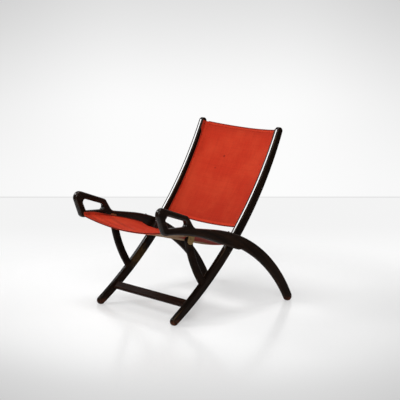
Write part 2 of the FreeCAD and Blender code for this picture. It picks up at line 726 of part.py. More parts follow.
def make_back(doc, view, layer):
    """The back's cover or lining, between the stiles' inner faces."""
    stations = []
    for along, sag in view.back_stations():
        hang = direction(view.stile_angle(along) - 90)
        stations.append((view.on_stile(along, view.d.back_flange), hang, sag))
    return make_sling(doc, "back_sheet", stations, across(doc, STILE_INNER), layer, view.d.back_flange)


def make_seat(doc, view, layer):
    """The seat's cover or lining between the rails, notched at the rear to pass between the stiles."""
    d = view.d
    stations = [(origin, -1j, sag) for origin, sag in view.seat_stations()]
    sheet = make_sling(doc, "seat_sheet", stations, across(doc, RAIL_INNER), layer, d.seat_flange)
    notches = []
    for side in SIDES.values():
        box = doc.addObject("Part::Box", "seat_notch")
        box.setExpression("Length", f"dims.overall_width - ({STILE_INNER}) + dims.seat_tail_margin")
        box.setExpression("Width", "2 * dims.seat_notch")
        box.setExpression("Height", "2 * dims.pivot_z")
        inner = across(doc, f"{STILE_INNER} - dims.seat_tail_margin")
        corner = inner if side > 0 else -d.overall_width
        box.Placement.Base = FreeCAD.Vector(corner, d.pivot_y - d.seat_notch, 0)
        notches.append(box)
    return cut_away(doc, "seat_cloth", sheet, notches)


def tack_places(start, end, d):
    """Evenly spaced places between two ends, about a tack's pitch apart."""
    count = round((end - start - 2 * d.tack_inset) / d.tack_pitch)
    return [start + d.tack_inset + (end - start - 2 * d.tack_inset) * i / count for i in range(count + 1)]


def make_tacks(doc, name, places, half_span, d):
    """Tacks through both layers of a sling's flanges into the wood, on both sides."""
    face = half_span - 2 * (d.cloth_thickness + d.cloth_gap)
    tacks = []
    for side in SIDES.values():
        for place in places:
            outward = X_AXIS * side
            base = FreeCAD.Vector(side * face, place.real, place.imag)
            head = Part.makeCone(d.tack_head_diameter / 4, d.tack_head_diameter / 2, d.tack_head_height,
                                 base - outward * d.tack_head_height, outward)
            shank = Part.makeCylinder(d.tack_diameter / 2, d.tack_length, base, outward)
            tacks.append(head.fuse(shank))
    item = doc.addObject("Part::Feature", name)
    item.Shape = Part.makeCompound(tacks)
    return item


def make_back_tacks(doc, view):
    """Tacks along the stiles."""
    d = view.d
    places = [view.on_stile(along, d.back_flange / 2) for along in tack_places(d.back_bottom, d.back_top, d)]
    return make_tacks(doc, "back_tack_row", places, across(doc, STILE_INNER), d)


def make_seat_tacks(doc, view):
    """Tacks along the rails, from the seat's front to its notch, clear of the strut plates."""
    d = view.d
    edge = [origin for origin, _ in view.seat_stations()]
    rows = [point.real for point in edge]
    heights = [point.imag for point in edge]
    places = []
    for y in tack_places(d.pivot_y - d.seat_front, d.pivot_y - d.seat_notch, d):
        if abs(y - view.strut_pin.real) > d.plate_width / 2 + d.tack_head_diameter:
            places.append(complex(y, through_three(rows, heights, y) + d.seat_flange / 2))
    return make_tacks(doc, "seat_tack_row", places, across(doc, RAIL_INNER), d)


def build(doc):
    """Make every piece, with the name that its file gets."""
    view = SideView(fill_sheet(doc))
    pieces = {"front_stretcher": make_stretcher(doc, view),
              "back_cover": make_back(doc, view, 1),
              "back_lining": make_back(doc, view, 0),
              "back_tacks": make_back_tacks(doc, view),
              "seat_cover": make_seat(doc, view, 1),
              "seat_lining": make_seat(doc, view, 0),
              "seat_tacks": make_seat_tacks(doc, view),
              "strut_plate_screws": make_plate_screws(doc, view),
              "rail_studs": make_studs(doc, view)}
    makers = {"stile_leg": make_stile_leg, "arm_rail": make_arm_rail, "strut": make_strut,
              "strut_plate": make_strut_plate, "strut_rivet": make_strut_rivet, "strut_stop": make_strut_stop,
              "pivot_bolt": make_pivot_bolt, "pivot_bush": make_pivot_bush,
              "pivot_insert": make_pivot_insert, "pivot_washer": make_pivot_washer}
    for name, side in SIDES.items():
        for piece, maker in makers.items():
            pieces[f"{name}_{piece}"] = maker(doc, view, side)
    for label, item in pieces.items():
        item.Label = label
    doc.recompute()
    return pieces


def check(doc, pieces):
    """Stop where an object failed or a piece has no sound solid."""
    for item in doc.Objects:
        if "Invalid" in item.State or "Error" in item.State:
            raise RuntimeError(f"{item.Name} failed: {item.State}")
    for label, item in pieces.items():
        if item.Shape.isNull() or not item.Shape.isValid() or not item.Shape.Solids:
            raise RuntimeError(f"{label} has no sound solid")


def write(pieces):
    """Write each piece to its own file."""
    os.makedirs("parts", exist_ok=True)
    for label, item in pieces.items():
        item.Shape.exportStep(f"parts/{label}.step")
        print(f"{label}: {len(item.Shape.Solids)} solids, {item.Shape.Volume / 1000:.2f} cm3")


document = FreeCAD.newDocument("folding_armchair")
chair = build(document)
check(document, chair)
write(chair)
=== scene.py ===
"""Dresses the folding armchair: its timber, its cloth slings and its fittings, in a small studio."""

import logging
import math
from dataclasses import dataclass
from enum import Enum
from typing import Any, Optional, Sequence, Union

import bpy
import numpy as np
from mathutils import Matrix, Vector, noise


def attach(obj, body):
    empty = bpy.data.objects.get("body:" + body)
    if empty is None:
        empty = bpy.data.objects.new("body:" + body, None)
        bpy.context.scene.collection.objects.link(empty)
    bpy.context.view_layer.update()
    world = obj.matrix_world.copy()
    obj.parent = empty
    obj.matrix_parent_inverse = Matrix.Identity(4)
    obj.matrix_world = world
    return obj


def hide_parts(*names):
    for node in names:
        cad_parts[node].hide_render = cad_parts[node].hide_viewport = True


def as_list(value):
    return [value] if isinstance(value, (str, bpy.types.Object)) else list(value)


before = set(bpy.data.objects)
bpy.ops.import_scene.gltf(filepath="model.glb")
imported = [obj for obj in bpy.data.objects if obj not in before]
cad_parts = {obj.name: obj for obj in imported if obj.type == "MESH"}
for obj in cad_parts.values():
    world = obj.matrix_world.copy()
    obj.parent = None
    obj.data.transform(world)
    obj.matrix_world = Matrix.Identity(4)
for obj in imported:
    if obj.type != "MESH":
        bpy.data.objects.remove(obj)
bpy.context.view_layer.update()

LOG = logging.getLogger("armchair")
CLOTH_MAP = "cloth"
RIM = "rim"
FACING = "facing"
SIDES = {"left": 1.0, "right": -1.0}
WHITE = (1.0, 1.0, 1.0, 1.0)
DISPLAY_TOP = 255
HAIR = 1e-6

Pair = tuple[float, float]
Triple = tuple[float, float, float]
Colour = tuple[float, float, float, float]
Number = Union["Num", float]
Material = bpy.types.Material
Mesh = bpy.types.Mesh
Piece = bpy.types.Object
Socket = bpy.types.NodeSocket


def tone(red: int, green: int, blue: int) -> Colour:
    """Turns a display colour into the linear colour that shaders take.

    Args:
        red: Red, 0 to 255.
        green: Green, 0 to 255.
        blue: Blue, 0 to 255.

    Returns:
        The linear colour with full alpha.
    """
    def linear(level: int) -> float:
        """One channel in linear light."""
        share = level / DISPLAY_TOP
        return share / 12.92 if share <= 0.04045 else ((share + 0.055) / 1.055) ** 2.4

    return linear(red), linear(green), linear(blue), 1.0


def heading(degrees: float) -> Pair:
    """The unit (y, z) direction at an angle from the floor towards the chair's rear."""
    return math.cos(math.radians(degrees)), math.sin(math.radians(degrees))


def way_to(turn: float, lift: float) -> Vector:
    """The unit way from the chair to a place round it.

    Args:
        turn: Degrees from straight ahead towards the chair's left.
        lift: Degrees above the level.

    Returns:
        The way.
    """
    turn, lift = math.radians(turn), math.radians(lift)
    return Vector((math.sin(turn) * math.cos(lift), -math.cos(turn) * math.cos(lift), math.sin(lift)))


def ease(low: float, high: float, value: float) -> float:
    """A smooth rise from 0 at low to 1 at high."""
    share = min(max((value - low) / (high - low), 0.0), 1.0)
    return share * share * (3 - 2 * share)


def put(name: str, data: Any) -> Piece:
    """Makes an object and links it to the scene.

    Args:
        name: The object's name.
        data: Its mesh, lamp or camera.

    Returns:
        The object.
    """
    made = bpy.data.objects.new(name, data)
    bpy.context.scene.collection.objects.link(made)
    return made


def put_facing(name: str, data: Any, aim: Vector, way: Vector, distance: float) -> Piece:
    """Puts a lamp or the camera at a distance from an aim, looking back at it.

    Args:
        name: The object's name.
        data: The lamp or camera.
        aim: What it looks at.
        way: The unit way from the aim to it.
        distance: How far off it is.

    Returns:
        The object.
    """
    made = put(name, data)
    made.location = aim + way * distance
    made.rotation_euler = (-way).to_track_quat("-Z", "Y").to_euler()
    return made


class Num:
    """A number in a node tree: arithmetic on it adds Math nodes."""

    def __init__(self, nodes: "NodeTree", socket: Socket) -> None:
        """Keeps the tree and the socket that gives the number."""
        self.nodes = nodes
        self.socket = socket

    def __add__(self, other: Number) -> "Num":
        """Sum."""
        return self.nodes.math("ADD", self, other)

    def __radd__(self, other: Number) -> "Num":
        """Sum with a plain number on the left."""
        return self.nodes.math("ADD", other, self)

    def __sub__(self, other: Number) -> "Num":
        """Difference."""
        return self.nodes.math("SUBTRACT", self, other)

    def __rsub__(self, other: Number) -> "Num":
        """Difference from a plain number."""
        return self.nodes.math("SUBTRACT", other, self)

    def __mul__(self, other: Number) -> "Num":
        """Product."""
        return self.nodes.math("MULTIPLY", self, other)

    def __rmul__(self, other: Number) -> "Num":
        """Product with a plain number on the left."""
        return self.nodes.math("MULTIPLY", other, self)

    def __pow__(self, other: Number) -> "Num":
        """Power."""
        return self.nodes.math("POWER", self, other)

    def __mod__(self, other: Number) -> "Num":
        """Remainder, never negative."""
        return self.nodes.math("FLOORED_MODULO", self, other)

    def __abs__(self) -> "Num":
        """Size without sign."""
        return self.nodes.math("ABSOLUTE", self)

    def floor(self) -> "Num":
        """The whole number below."""
        return self.nodes.math("FLOOR", self)

    def sine(self) -> "Num":
        """The sine of the number taken as radians."""
        return self.nodes.math("SINE", self)

    def step(self, low: float, high: float) -> "Num":
        """A smooth step.

        Args:
            low: Where it is 0.
            high: Where it is 1, which may be the smaller of the two.

        Returns:
            The step, from 0 to 1.
        """
        inputs = {"Value": self, "From Min": min(low, high), "From Max": max(low, high),
                  "To Min": float(low > high), "To Max": float(low <= high)}
        settings = {"interpolation_type": "SMOOTHSTEP"}
        return Num(self.nodes, self.nodes.node("ShaderNodeMapRange", settings, inputs)[0])


class NodeTree:
    """A node tree and the ways to add to it."""

    def __init__(self, tree: bpy.types.NodeTree) -> None:
        """Keeps the tree."""
        self.tree = tree

    def node(self, kind: str, settings: Optional[dict[str, Any]] = None,
             inputs: Optional[dict[Union[str, int], Any]] = None) -> Any:
        """Adds any node.

        Args:
            kind: The node's type.
            settings: Its properties, set before its sockets.
            inputs: A value, a socket or a Num for each socket, by name or number.

        Returns:
            The node's outputs.
        """
        made = self.tree.nodes.new(kind)
        for key, value in (settings or {}).items():
            setattr(made, key, value)
        for key, value in (inputs or {}).items():
            source = value.socket if isinstance(value, Num) else value
            if isinstance(source, Socket):
                self.tree.links.new(source, made.inputs[key])
            else:
                made.inputs[key].default_value = source
        return made.outputs

    def math(self, operation: str, *operands: Number) -> Num:
        """One Math node on the operands."""
        inputs = dict(enumerate(operands))
        return Num(self, self.node("ShaderNodeMath", {"operation": operation}, inputs)[0])

    def vector(self, x: Number, y: Number, z: Number) -> Socket:
        """A vector from three numbers."""
        return self.node("ShaderNodeCombineXYZ", inputs={"X": x, "Y": y, "Z": z})[0]

    def split(self, vector: Socket) -> tuple[Num, Num, Num]:
        """The three numbers of a vector."""
        parts = self.node("ShaderNodeSeparateXYZ", inputs={"Vector": vector})
        return Num(self, parts[0]), Num(self, parts[1]), Num(self, parts[2])

    def product(self, first: Any, second: Any) -> Socket:
        """Two vectors or colours multiplied axis by axis."""
        settings = {"operation": "MULTIPLY"}
        return self.node("ShaderNodeVectorMath", settings, {0: first, 1: second})[0]


class Graph(NodeTree):
    """The nodes of a material or of the world."""

    def __init__(self, name: str, world: Optional[bpy.types.World] = None) -> None:
        """Empties the nodes of a new material, or of a given world.

        Args:
            name: The new material's name.
            world: The world to take in its place.
        """
        self.material = world or bpy.data.materials.new(name)
        self.material.use_nodes = True
        super().__init__(self.material.node_tree)
        self.tree.nodes.clear()

    def place(self) -> Socket:
        """Object coordinates in metres."""
        return self.node("ShaderNodeTexCoord")["Object"]

    def facing(self) -> tuple[Num, Num, Num]:
        """The surface's own direction in the object's axes."""
        return self.split(self.node("ShaderNodeTexCoord")["Normal"])

    def cloth(self) -> tuple[Num, Num]:
        """Place on the cloth's own map: across and along it, in metres."""
        across, along, _ = self.split(self.node("ShaderNodeUVMap", {"uv_map": CLOTH_MAP})[0])
        return across, along

    def rim(self) -> Num:
        """Share of the way up a cloth's flange, 0 on its web."""
        return Num(self, self.node("ShaderNodeAttribute", {"attribute_name": RIM})["Fac"])

    def ray(self, kind: str) -> Num:
        """1 for rays of a kind, which is a Light Path output's name, and otherwise 0."""
        return Num(self, self.node("ShaderNodeLightPath")[kind])

    def reach(self, first: Num, second: Num) -> Num:
        """The length of two numbers at right angles."""
        return self.math("SQRT", first * first + second * second)

    def noise(self, vector: Socket, scale: float, detail: float, rough: float = 0.55) -> Num:
        """Noise from 0 to 1.

        Args:
            vector: Where it is read.
            scale: Its cells per metre of the vector.
            detail: How many finer layers it has.
            rough: How strong the finer layers are.

        Returns:
            The noise.
        """
        inputs = {"Vector": vector, "Scale": scale, "Detail": detail, "Roughness": rough}
        return Num(self, self.node("ShaderNodeTexNoise", inputs=inputs)[0])

    def grain(self, axes: tuple[Num, Num, Num], scale: Triple) -> Num:
        """Noise that is drawn out along the grain.

        Args:
            axes: Distances along the grain, through the member and to its side.
            scale: Cells per metre along and across the grain, and how many finer layers.

        Returns:
            The noise.
        """
        along, depth, side = axes
        run, cross, detail = scale
        return self.noise(self.vector(along * run, depth * cross, side * cross), 1.0, detail)

    def random(self, x: Number, y: Number) -> Num:
        """A steady random number for each pair of whole numbers."""
        inputs = {"Vector": self.vector(x, y, 0.0)}
        return Num(self, self.node("ShaderNodeTexWhiteNoise", {"noise_dimensions": "2D"}, inputs)[0])

    def mix(self, share: Number, first: Any, second: Any) -> Socket:
        """Mixes two colours by a share from 0, the first, to 1, the second."""
        inputs = {0: share, 6: first, 7: second}
        return self.node("ShaderNodeMix", {"data_type": "RGBA"}, inputs)[2]

    def blend(self, share: Any, first: Any, second: Any) -> Socket:
        """Mixes two shaders by a share from 0, the first, to 1, the second."""
        return self.node("ShaderNodeMixShader", inputs={0: share, 1: first, 2: second})[0]

    def shade(self, colour: Any, level: Number) -> Socket:
        """A colour darkened or lightened by a number."""
        return self.product(colour, self.vector(level, level, level))

    def bump(self, height: Num, depth: float, strength: float) -> Socket:
        """A normal from a height of 0 to 1 that is depth metres deep."""
        inputs = {"Height": height, "Distance": depth, "Strength": strength}
        return self.node("ShaderNodeBump", inputs=inputs)[0]

    def close(self, surface: Socket) -> Material:
        """Ends the nodes with a shader and gives the material."""
        self.node("ShaderNodeOutputMaterial", inputs={"Surface": surface})
        return self.material

    def surface(self, **sockets: Any) -> Material:
        """Ends the nodes with a Principled shader.

        Args:
            sockets: The shader's sockets, with an underscore for each space in a name.

        Returns:
            The finished material.
        """
        inputs = {key.replace("_", " "): value for key, value in sockets.items()}
        return self.close(self.node("ShaderNodeBsdfPrincipled", inputs=inputs)[0])


class GrainRun(Enum):
    """The line that a member's grain follows."""

    BEND = "round the member's bend"
    ACROSS = "from side to side"


@dataclass(frozen=True)
class LacqueredTimber:
    """Dark stained timber under a clear lacquer, rubbed at its edges and bare at its feet."""

    name: str
    run: GrainRun
    bend_centre: Pair = (0.0, 0.0)
    bend_radius: float = 1.0
    stain: Colour = tone(15, 9, 6)
    warm: Colour = tone(36, 22, 14)
    rubbed: Colour = tone(84, 56, 36)
    bare: Colour = tone(92, 50, 34)
    figure: Triple = (5.0, 70.0, 4.0)
    hair_lines: Triple = (14.0, 420.0, 2.0)
    pores: Triple = (60.0, 1500.0, 1.0)
    clouds: Pair = (9.0, 3.0)
    specks: Pair = (60.0, 4.0)
    figure_share: float = 0.6
    warm_band: Pair = (0.36, 0.72)
    pore_band: Pair = (0.3, 0.5)
    relief_shares: Triple = (0.35, 0.4, 0.25)
    pore_depth: float = 0.0001
    pore_strength: float = 0.25
    corner_band: Pair = (0.55, 1.0)
    corner_patches: Pair = (0.5, 0.75)
    corner_rub: float = 0.45
    rub_place: Optional[Pair] = None
    rub_reach: float = 0.04
    rub_core: float = 0.3
    rub_inner: Pair = (0.0, -0.15)
    rub_patches: Pair = (0.25, 0.6)
    rub_share: float = 0.7
    foot_top: float = 0.03
    foot_patches: Pair = (0.35, 0.6)
    foot_share: float = 0.8
    roughness: float = 0.34
    rough_gains: Triple = (0.1, 0.12, 0.2)
    rough_patches: Pair = (0.3, 0.8)
    specular: float = 0.03
    lacquer: float = 0.9
    lacquer_index: float = 1.5
    lacquer_roughness: float = 0.05
    lacquer_losses: Pair = (0.7, 0.4)
    worn_lacquer: float = 0.04
    worn_below: Pair = (0.28, 0.36)
    gloss_middle: Optional[float] = None
    gloss_half: float = 0.0036
    gloss_fade: float = 0.0008
    gloss_shift: float = 0.0028
    leg_shift: float = 0.005
    leg_span: Pair = (0.38, 0.28)

    def axes(self, graph: Graph, x: Num, y: Num, z: Num) -> tuple[Num, Num, Num]:
        """The member's own axes.

        Args:
            graph: The material's nodes.
            x: Place from side to side.
            y: Place from front to rear.
            z: Height.

        Returns:
            Distances along the grain, through the member and to its side.
        """
        if self.run is GrainRun.ACROSS:
            return x, y, z
        rise = z - self.bend_centre[1]
        out = y - self.bend_centre[0]
        return graph.math("ARCTAN2", rise, out) * self.bend_radius, graph.reach(rise, out), x

    def gloss(self, graph: Graph, x: Num, z: Num) -> Num:
        """The lacquer that is left, less of it low down, and in one band where the finish has a middle.

        Args:
            graph: The material's nodes.
            x: Place from side to side.
            z: Height.

        Returns:
            The lacquer's strength.
        """
        whole = z.step(*self.worn_below)
        if self.gloss_middle:
            aside = x - graph.math("SIGN", x) * self.gloss_middle - self.gloss_shift
            aside = aside - z.step(*self.leg_span) * self.leg_shift
            whole = whole * abs(aside).step(self.gloss_half + self.gloss_fade, self.gloss_half)
        return whole * (self.lacquer - self.worn_lacquer) + self.worn_lacquer

    def material(self) -> Material:
        """Builds the finish.

        Returns:
            The material.
        """
        graph = Graph(self.name)
        place = graph.place()
        x, y, z = graph.split(place)
        axes = self.axes(graph, x, y, z)
        figure = graph.grain(axes, self.figure)
        lines = graph.grain(axes, self.hair_lines)
        pores = graph.grain(axes, self.pores)
        clouds = graph.noise(place, *self.clouds)
        specks = graph.noise(place, *self.specks)
        turn, _, _ = graph.facing()
        corner = (turn * turn * (1 - turn * turn) * 4.0).step(*self.corner_band)
        rub = corner * clouds.step(*self.corner_patches) * self.corner_rub
        if self.rub_place:
            chafe = graph.reach(y - self.rub_place[0], z - self.rub_place[1])
            inner = (turn * x).step(*self.rub_inner)
            near = chafe.step(self.rub_reach, self.rub_reach * self.rub_core)
            rub = rub + near * inner * specks.step(*self.rub_patches) * self.rub_share
        wear = z.step(self.foot_top, 0.0) * specks.step(*self.foot_patches)
        streaks = figure * self.figure_share + lines * (1 - self.figure_share)
        colour = graph.mix(streaks.step(*self.warm_band), self.stain, self.warm)
        colour = graph.mix(rub, colour, self.rubbed)
        colour = graph.mix(wear * self.foot_share, colour, self.bare)
        patch_gain, rub_gain, wear_gain = self.rough_gains
        rough = self.roughness + clouds.step(*self.rough_patches) * patch_gain
        rough = rough + rub * rub_gain + wear * wear_gain
        pore_part, line_part, cloud_part = self.relief_shares
        height = pores.step(*self.pore_band) * pore_part + lines * line_part + clouds * cloud_part
        coat = 0.0
        if self.lacquer:
            wear_loss, rub_loss = self.lacquer_losses
            coat = (1 - wear * wear_loss) * (1 - rub * rub_loss) * self.gloss(graph, x, z)
        return graph.surface(Base_Color=colour, Roughness=rough, Specular_IOR_Level=self.specular,
                             Coat_Weight=coat, Coat_Roughness=self.lacquer_roughness,
                             Coat_IOR=self.lacquer_index,
                             Normal=graph.bump(height, self.pore_depth, self.pore_strength))


@dataclass(frozen=True)
class PlainWeave:
    """Plain-woven cloth: threads over and under each other, uneven yarn, fading, soil and small marks, with
    painted shade in the weave's dips, and where set, painted shade in lines, on the flange, on faces that
    point down and towards the bottom.
    """

    name: str
    yarn: Colour
    faded: Colour
    # The dark tone of soil, which also stands for painted shade in lines and on the flange.
    soil_and_shade: Colour
    pitch: float = 0.0011
    dip: float = 0.45
    # Painted shade: the dips between threads are darker in colour.
    weave_shade_level: Pair = (0.84, 0.2)
    roughness: Triple = (0.9, 0.12, 0.1)
    relief: float = 0.00022
    relief_shares: Pair = (0.8, 0.2)
    relief_strength: float = 0.7
    slub: float = 0.16
    seeds: Pair = (3.0, 7.0)
    drift: Pair = (7.0, 4.0)
    streak: Triple = (160.0, 12.0, 2.0)
    blotch: Triple = (34.0, 5.0, 0.65)
    fade_band: Pair = (0.35, 0.7)
    blotch_band: Pair = (0.58, 0.85)
    blotch_soil: float = 0.22
    half_length: float = 0.225
    edge_width: float = 0.05
    edge_soil: float = 0.25
    mark_soil: float = 0.6
    mark_core: float = 0.3
    # Painted shade: the core of each dark line along a crease or fold.
    shade_line_core: float = 0.2
    # Painted shade on the flange towards the rear.
    flange_painted_shade_from: Optional[float] = None
    flange_painted_shade_run: float = 0.06
    flange_painted_shade_rise: Pair = (0.0, 0.3)
    flange_painted_shade: float = 0.8
    selvedge: Colour = tone(104, 62, 48)
    selvedge_band: Pair = (0.7, 1.0)
    selvedge_share: float = 0.6
    # Painted shade: a darker tone on faces that point down.
    underside_shade: Optional[Colour] = None
    underside_shade_band: Pair = (-0.1, -0.5)
    low_shade: float = 0.0
    low_shade_from: float = 0.08
    fuzz: float = 0.04
    fuzz_roughness: float = 0.5
    specular: float = 0.1
    marks: tuple[Triple, ...] = ()
    # Painted shade: dark lines across the cloth where creases and folds are shaded.
    lines: tuple[Triple, ...] = ()

    def soil_and_painted_shade(self, graph: Graph, across: Num, along: Num, drift: Num, blotch: Num) -> list[Num]:
        """How far soil and painted shade cover the cloth, one share for each kind.

        Args:
            graph: The material's nodes.
            across: Place across the cloth.
            along: Place along it.
            drift: The slow noise.
            blotch: The noise of the blotches.

        Returns:
            The shares: soil at the ends, in blotches and in marks; painted shade in lines, along creases and
                folds, and on the flange.
        """
        edge = abs(along).step(self.half_length - self.edge_width, self.half_length)
        shares = [edge * blotch * self.edge_soil, blotch.step(*self.blotch_band) * self.blotch_soil]
        for mark_across, mark_along, size in self.marks:
            spot = graph.reach(across - mark_across, along - mark_along) + (blotch - 0.5) * size
            shares.append(spot.step(size, size * self.mark_core) * self.mark_soil)
        # Painted shade: dark bands along creases and folds.
        for shade_line_along, width, strength in self.lines:
            aside = abs(along - shade_line_along + (drift - 0.5) * width)
            shares.append(aside.step(width, width * self.shade_line_core) * strength)
        # Painted shade: the flange darkened towards its rear.
        if self.flange_painted_shade_from:
            back = along.step(self.flange_painted_shade_from, self.flange_painted_shade_from + self.flange_painted_shade_run)
            shares.append(graph.rim().step(*self.flange_painted_shade_rise) * back * self.flange_painted_shade)
        return shares

    def material(self) -> Material:
        """Builds the finish on the cloth's own map.

        Returns:
            The material.
        """
        graph = Graph(self.name)
        across, along = graph.cloth()
        end = across * (1 / self.pitch)
        pick = along * (1 / self.pitch)
        over = (end.floor() + pick.floor()) % 2.0
        warp = abs((end * math.pi).sine())
        weft = abs((pick * math.pi).sine())
        low = 1 - self.dip
        weave = over * warp * (low + weft * self.dip) + (1 - over) * weft * (low + warp * self.dip)
        warp_yarn = graph.random(end.floor(), self.seeds[0])
        weft_yarn = graph.random(pick.floor(), self.seeds[1])
        yarn = over * warp_yarn + (1 - over) * weft_yarn
        flat = graph.vector(across, along, 0.0)
        drift = graph.noise(flat, *self.drift)
        blotch = graph.noise(flat, *self.blotch)
        streak_across, streak_along, layers = self.streak
        streak = graph.noise(graph.vector(across * streak_across, along * streak_along, 0.0), 1.0, layers)
        colour = graph.mix(drift.step(*self.fade_band), self.yarn, self.faded)
        for share in self.soil_and_painted_shade(graph, across, along, drift, blotch):
            colour = graph.mix(share, colour, self.soil_and_shade)
        bound = graph.rim().step(*self.selvedge_band) * self.selvedge_share
        colour = graph.mix(bound, colour, self.selvedge)
        # Painted shade: faces that point down take a darker tone.
        if self.underside_shade:
            _, _, rise = graph.facing()
            colour = graph.mix(rise.step(*self.underside_shade_band), colour, self.underside_shade)
        # Painted shade in the weave's dips; yarn and streaks vary the tone at random.
        base, gain = self.weave_shade_level
        level = base + weave * gain + (yarn - 0.5) * self.slub + (streak - 0.5) * self.slub
        if self.low_shade:
            level = level - along.step(self.low_shade_from, -self.half_length) * self.low_shade
        dullest, thread_gloss, blotch_gain = self.roughness
        rough = dullest - weave * thread_gloss + (blotch - 0.5) * blotch_gain
        height = weave * self.relief_shares[0] + yarn * self.relief_shares[1]
        relief = graph.bump(height, self.relief, self.relief_strength)
        return graph.surface(Base_Color=graph.shade(colour, level), Roughness=rough,
                             Specular_IOR_Level=self.specular, Sheen_Weight=self.fuzz,
                             Sheen_Roughness=self.fuzz_roughness, Sheen_Tint=self.faded, Normal=relief)


@dataclass(frozen=True)
class AgedMetal:
    """Metal with tarnish in patches, small specks and fine scratches."""

    name: str
    bright: Colour
    tarnish: Colour
    tarnished: float = 0.5
    polish: float = 0.28
    patch_shares: Pair = (0.75, 0.25)
    dull_from: Pair = (0.62, 0.3)
    dull_to: Pair = (0.78, 0.2)
    dull_rough: float = 0.32
    dull_metal: float = 0.3
    scratch_rough: float = 0.1
    cloud: Triple = (90.0, 5.0, 0.6)
    specks: Pair = (700.0, 3.0)
    scratch: Triple = (300.0, 2600.0, 320.0)
    scratch_layers: float = 2.0
    relief: float = 0.00005
    relief_strength: float = 0.5

    def material(self) -> Material:
        """Builds the finish.

        Returns:
            The material.
        """
        graph = Graph(self.name)
        place = graph.place()
        cloud = graph.noise(place, *self.cloud)
        specks = graph.noise(place, *self.specks)
        drawn = graph.product(place, self.scratch)
        scratch = graph.noise(drawn, 1.0, self.scratch_layers)
        patches = cloud * self.patch_shares[0] + specks * self.patch_shares[1]
        start, end = (level - self.tarnished * gain for level, gain in (self.dull_from, self.dull_to))
        dull = patches.step(start, end)
        colour = graph.mix(dull, self.bright, self.tarnish)
        rough = self.polish + dull * self.dull_rough + scratch * self.scratch_rough
        relief = graph.bump(scratch * 0.5 + specks * 0.5, self.relief, self.relief_strength)
        return graph.surface(Base_Color=colour, Roughness=rough, Metallic=1 - dull * self.dull_metal,
                             Normal=relief)


@dataclass(frozen=True)
class TwistedThread:
    """Sewing thread, darkened with age."""

    name: str
    dyed: Colour
    aged: Colour
    drift: Pair = (40.0, 3.0)
    strands: Pair = (2600.0, 2.0)
    age_band: Pair = (0.35, 0.7)
    strand_level: Pair = (0.8, 0.4)
    roughness: Pair = (0.75, 0.15)
    relief: float = 0.0001
    relief_strength: float = 0.6
    specular: float = 0.3

    def material(self) -> Material:
        """Builds the finish.

        Returns:
            The material.
        """
        graph = Graph(self.name)
        place = graph.place()
        drift = graph.noise(place, *self.drift)
        strands = graph.noise(place, *self.strands)
        colour = graph.mix(drift.step(*self.age_band), self.dyed, self.aged)
        level = self.strand_level[0] + strands * self.strand_level[1]
        rough = self.roughness[0] + drift * self.roughness[1]
        return graph.surface(Base_Color=graph.shade(colour, level), Roughness=rough,
                             Specular_IOR_Level=self.specular,
                             Normal=graph.bump(strands, self.relief, self.relief_strength))


@dataclass(frozen=True)
class StudioPaper:
    """Pale studio paper, whose tone falls off away from its middle, as on a lit sweep."""

    name: str
    middle: Pair
    right: Pair
    brightest: float
    display_gamma: float = 2.2

    def frame_place(self, graph: Graph) -> tuple[Num, Num, Num]:
        """Places on the paper as the viewer sees them.

        Args:
            graph: The material's nodes.

        Returns:
            Distance to the right of the middle, distance towards the viewer, and height.
        """
        x, y, z = graph.split(graph.place())
        across = x - self.middle[0]
        ahead = y - self.middle[1]
        beside = across * self.right[0] + ahead * self.right[1]
        nearer = across * self.right[1] - ahead * self.right[0]
        return beside, nearer, z

    def lit(self, graph: Graph, level: Num) -> Socket:
        """A grey of a display level, 0 to 255, as a linear colour."""
        share = (level * (1 / DISPLAY_TOP)) ** self.display_gamma
        return graph.vector(share, share, share)

    def close(self, graph: Graph, shown: Num, paper: Any, even: Any) -> Material:
        """Ends the finish, clear from behind.

        Args:
            graph: The material's nodes.
            shown: Share of the even tone.
            paper: The shader that takes light.
            even: The shader of the even tone.

        Returns:
            The material.
        """
        behind = graph.node("ShaderNodeNewGeometry")["Backfacing"]
        clear = graph.node("ShaderNodeBsdfTransparent")[0]
        return graph.close(graph.blend(behind, graph.blend(shown, paper, even), clear))


@dataclass(frozen=True)
class WallPaper(StudioPaper):
    """The sweep behind the chair: an even tone to the eye and in reflections."""

    paper: Colour = (0.85, 0.85, 0.85, 1.0)
    top_fall: float = 35.0
    top_band: Pair = (0.5, 1.5)
    side_fall: float = 20.0
    side_band: Pair = (0.4, 1.6)
    side_rise: Pair = (0.0, 0.8)
    side_low: float = 0.3
    foot_shadow_fall: float = 26.0
    foot_shadow_band: Pair = (0.012, 0.0)

    def material(self) -> Material:
        """Builds the finish.

        Returns:
            The material.
        """
        graph = Graph(self.name)
        beside, _, height = self.frame_place(graph)
        rise = height.step(*self.side_rise) * (1 - self.side_low) + self.side_low
        aside = abs(beside).step(*self.side_band) * rise
        level = self.brightest - height.step(*self.top_band) * self.top_fall - aside * self.side_fall
        # Painted shadow: a thin dark line where the wall meets the floor.
        level = level - height.step(*self.foot_shadow_band) * self.foot_shadow_fall
        paper = graph.node("ShaderNodeBsdfDiffuse", inputs={"Color": self.paper})[0]
        even = graph.node("ShaderNodeEmission", inputs={"Color": self.lit(graph, level)})[0]
        seen = graph.math("MAXIMUM", graph.ray("Is Camera Ray"), graph.ray("Is Glossy Ray"))
        seen = graph.math("MAXIMUM", seen, graph.ray("Is Transmission Ray"))
        return self.close(graph, seen, paper, even)


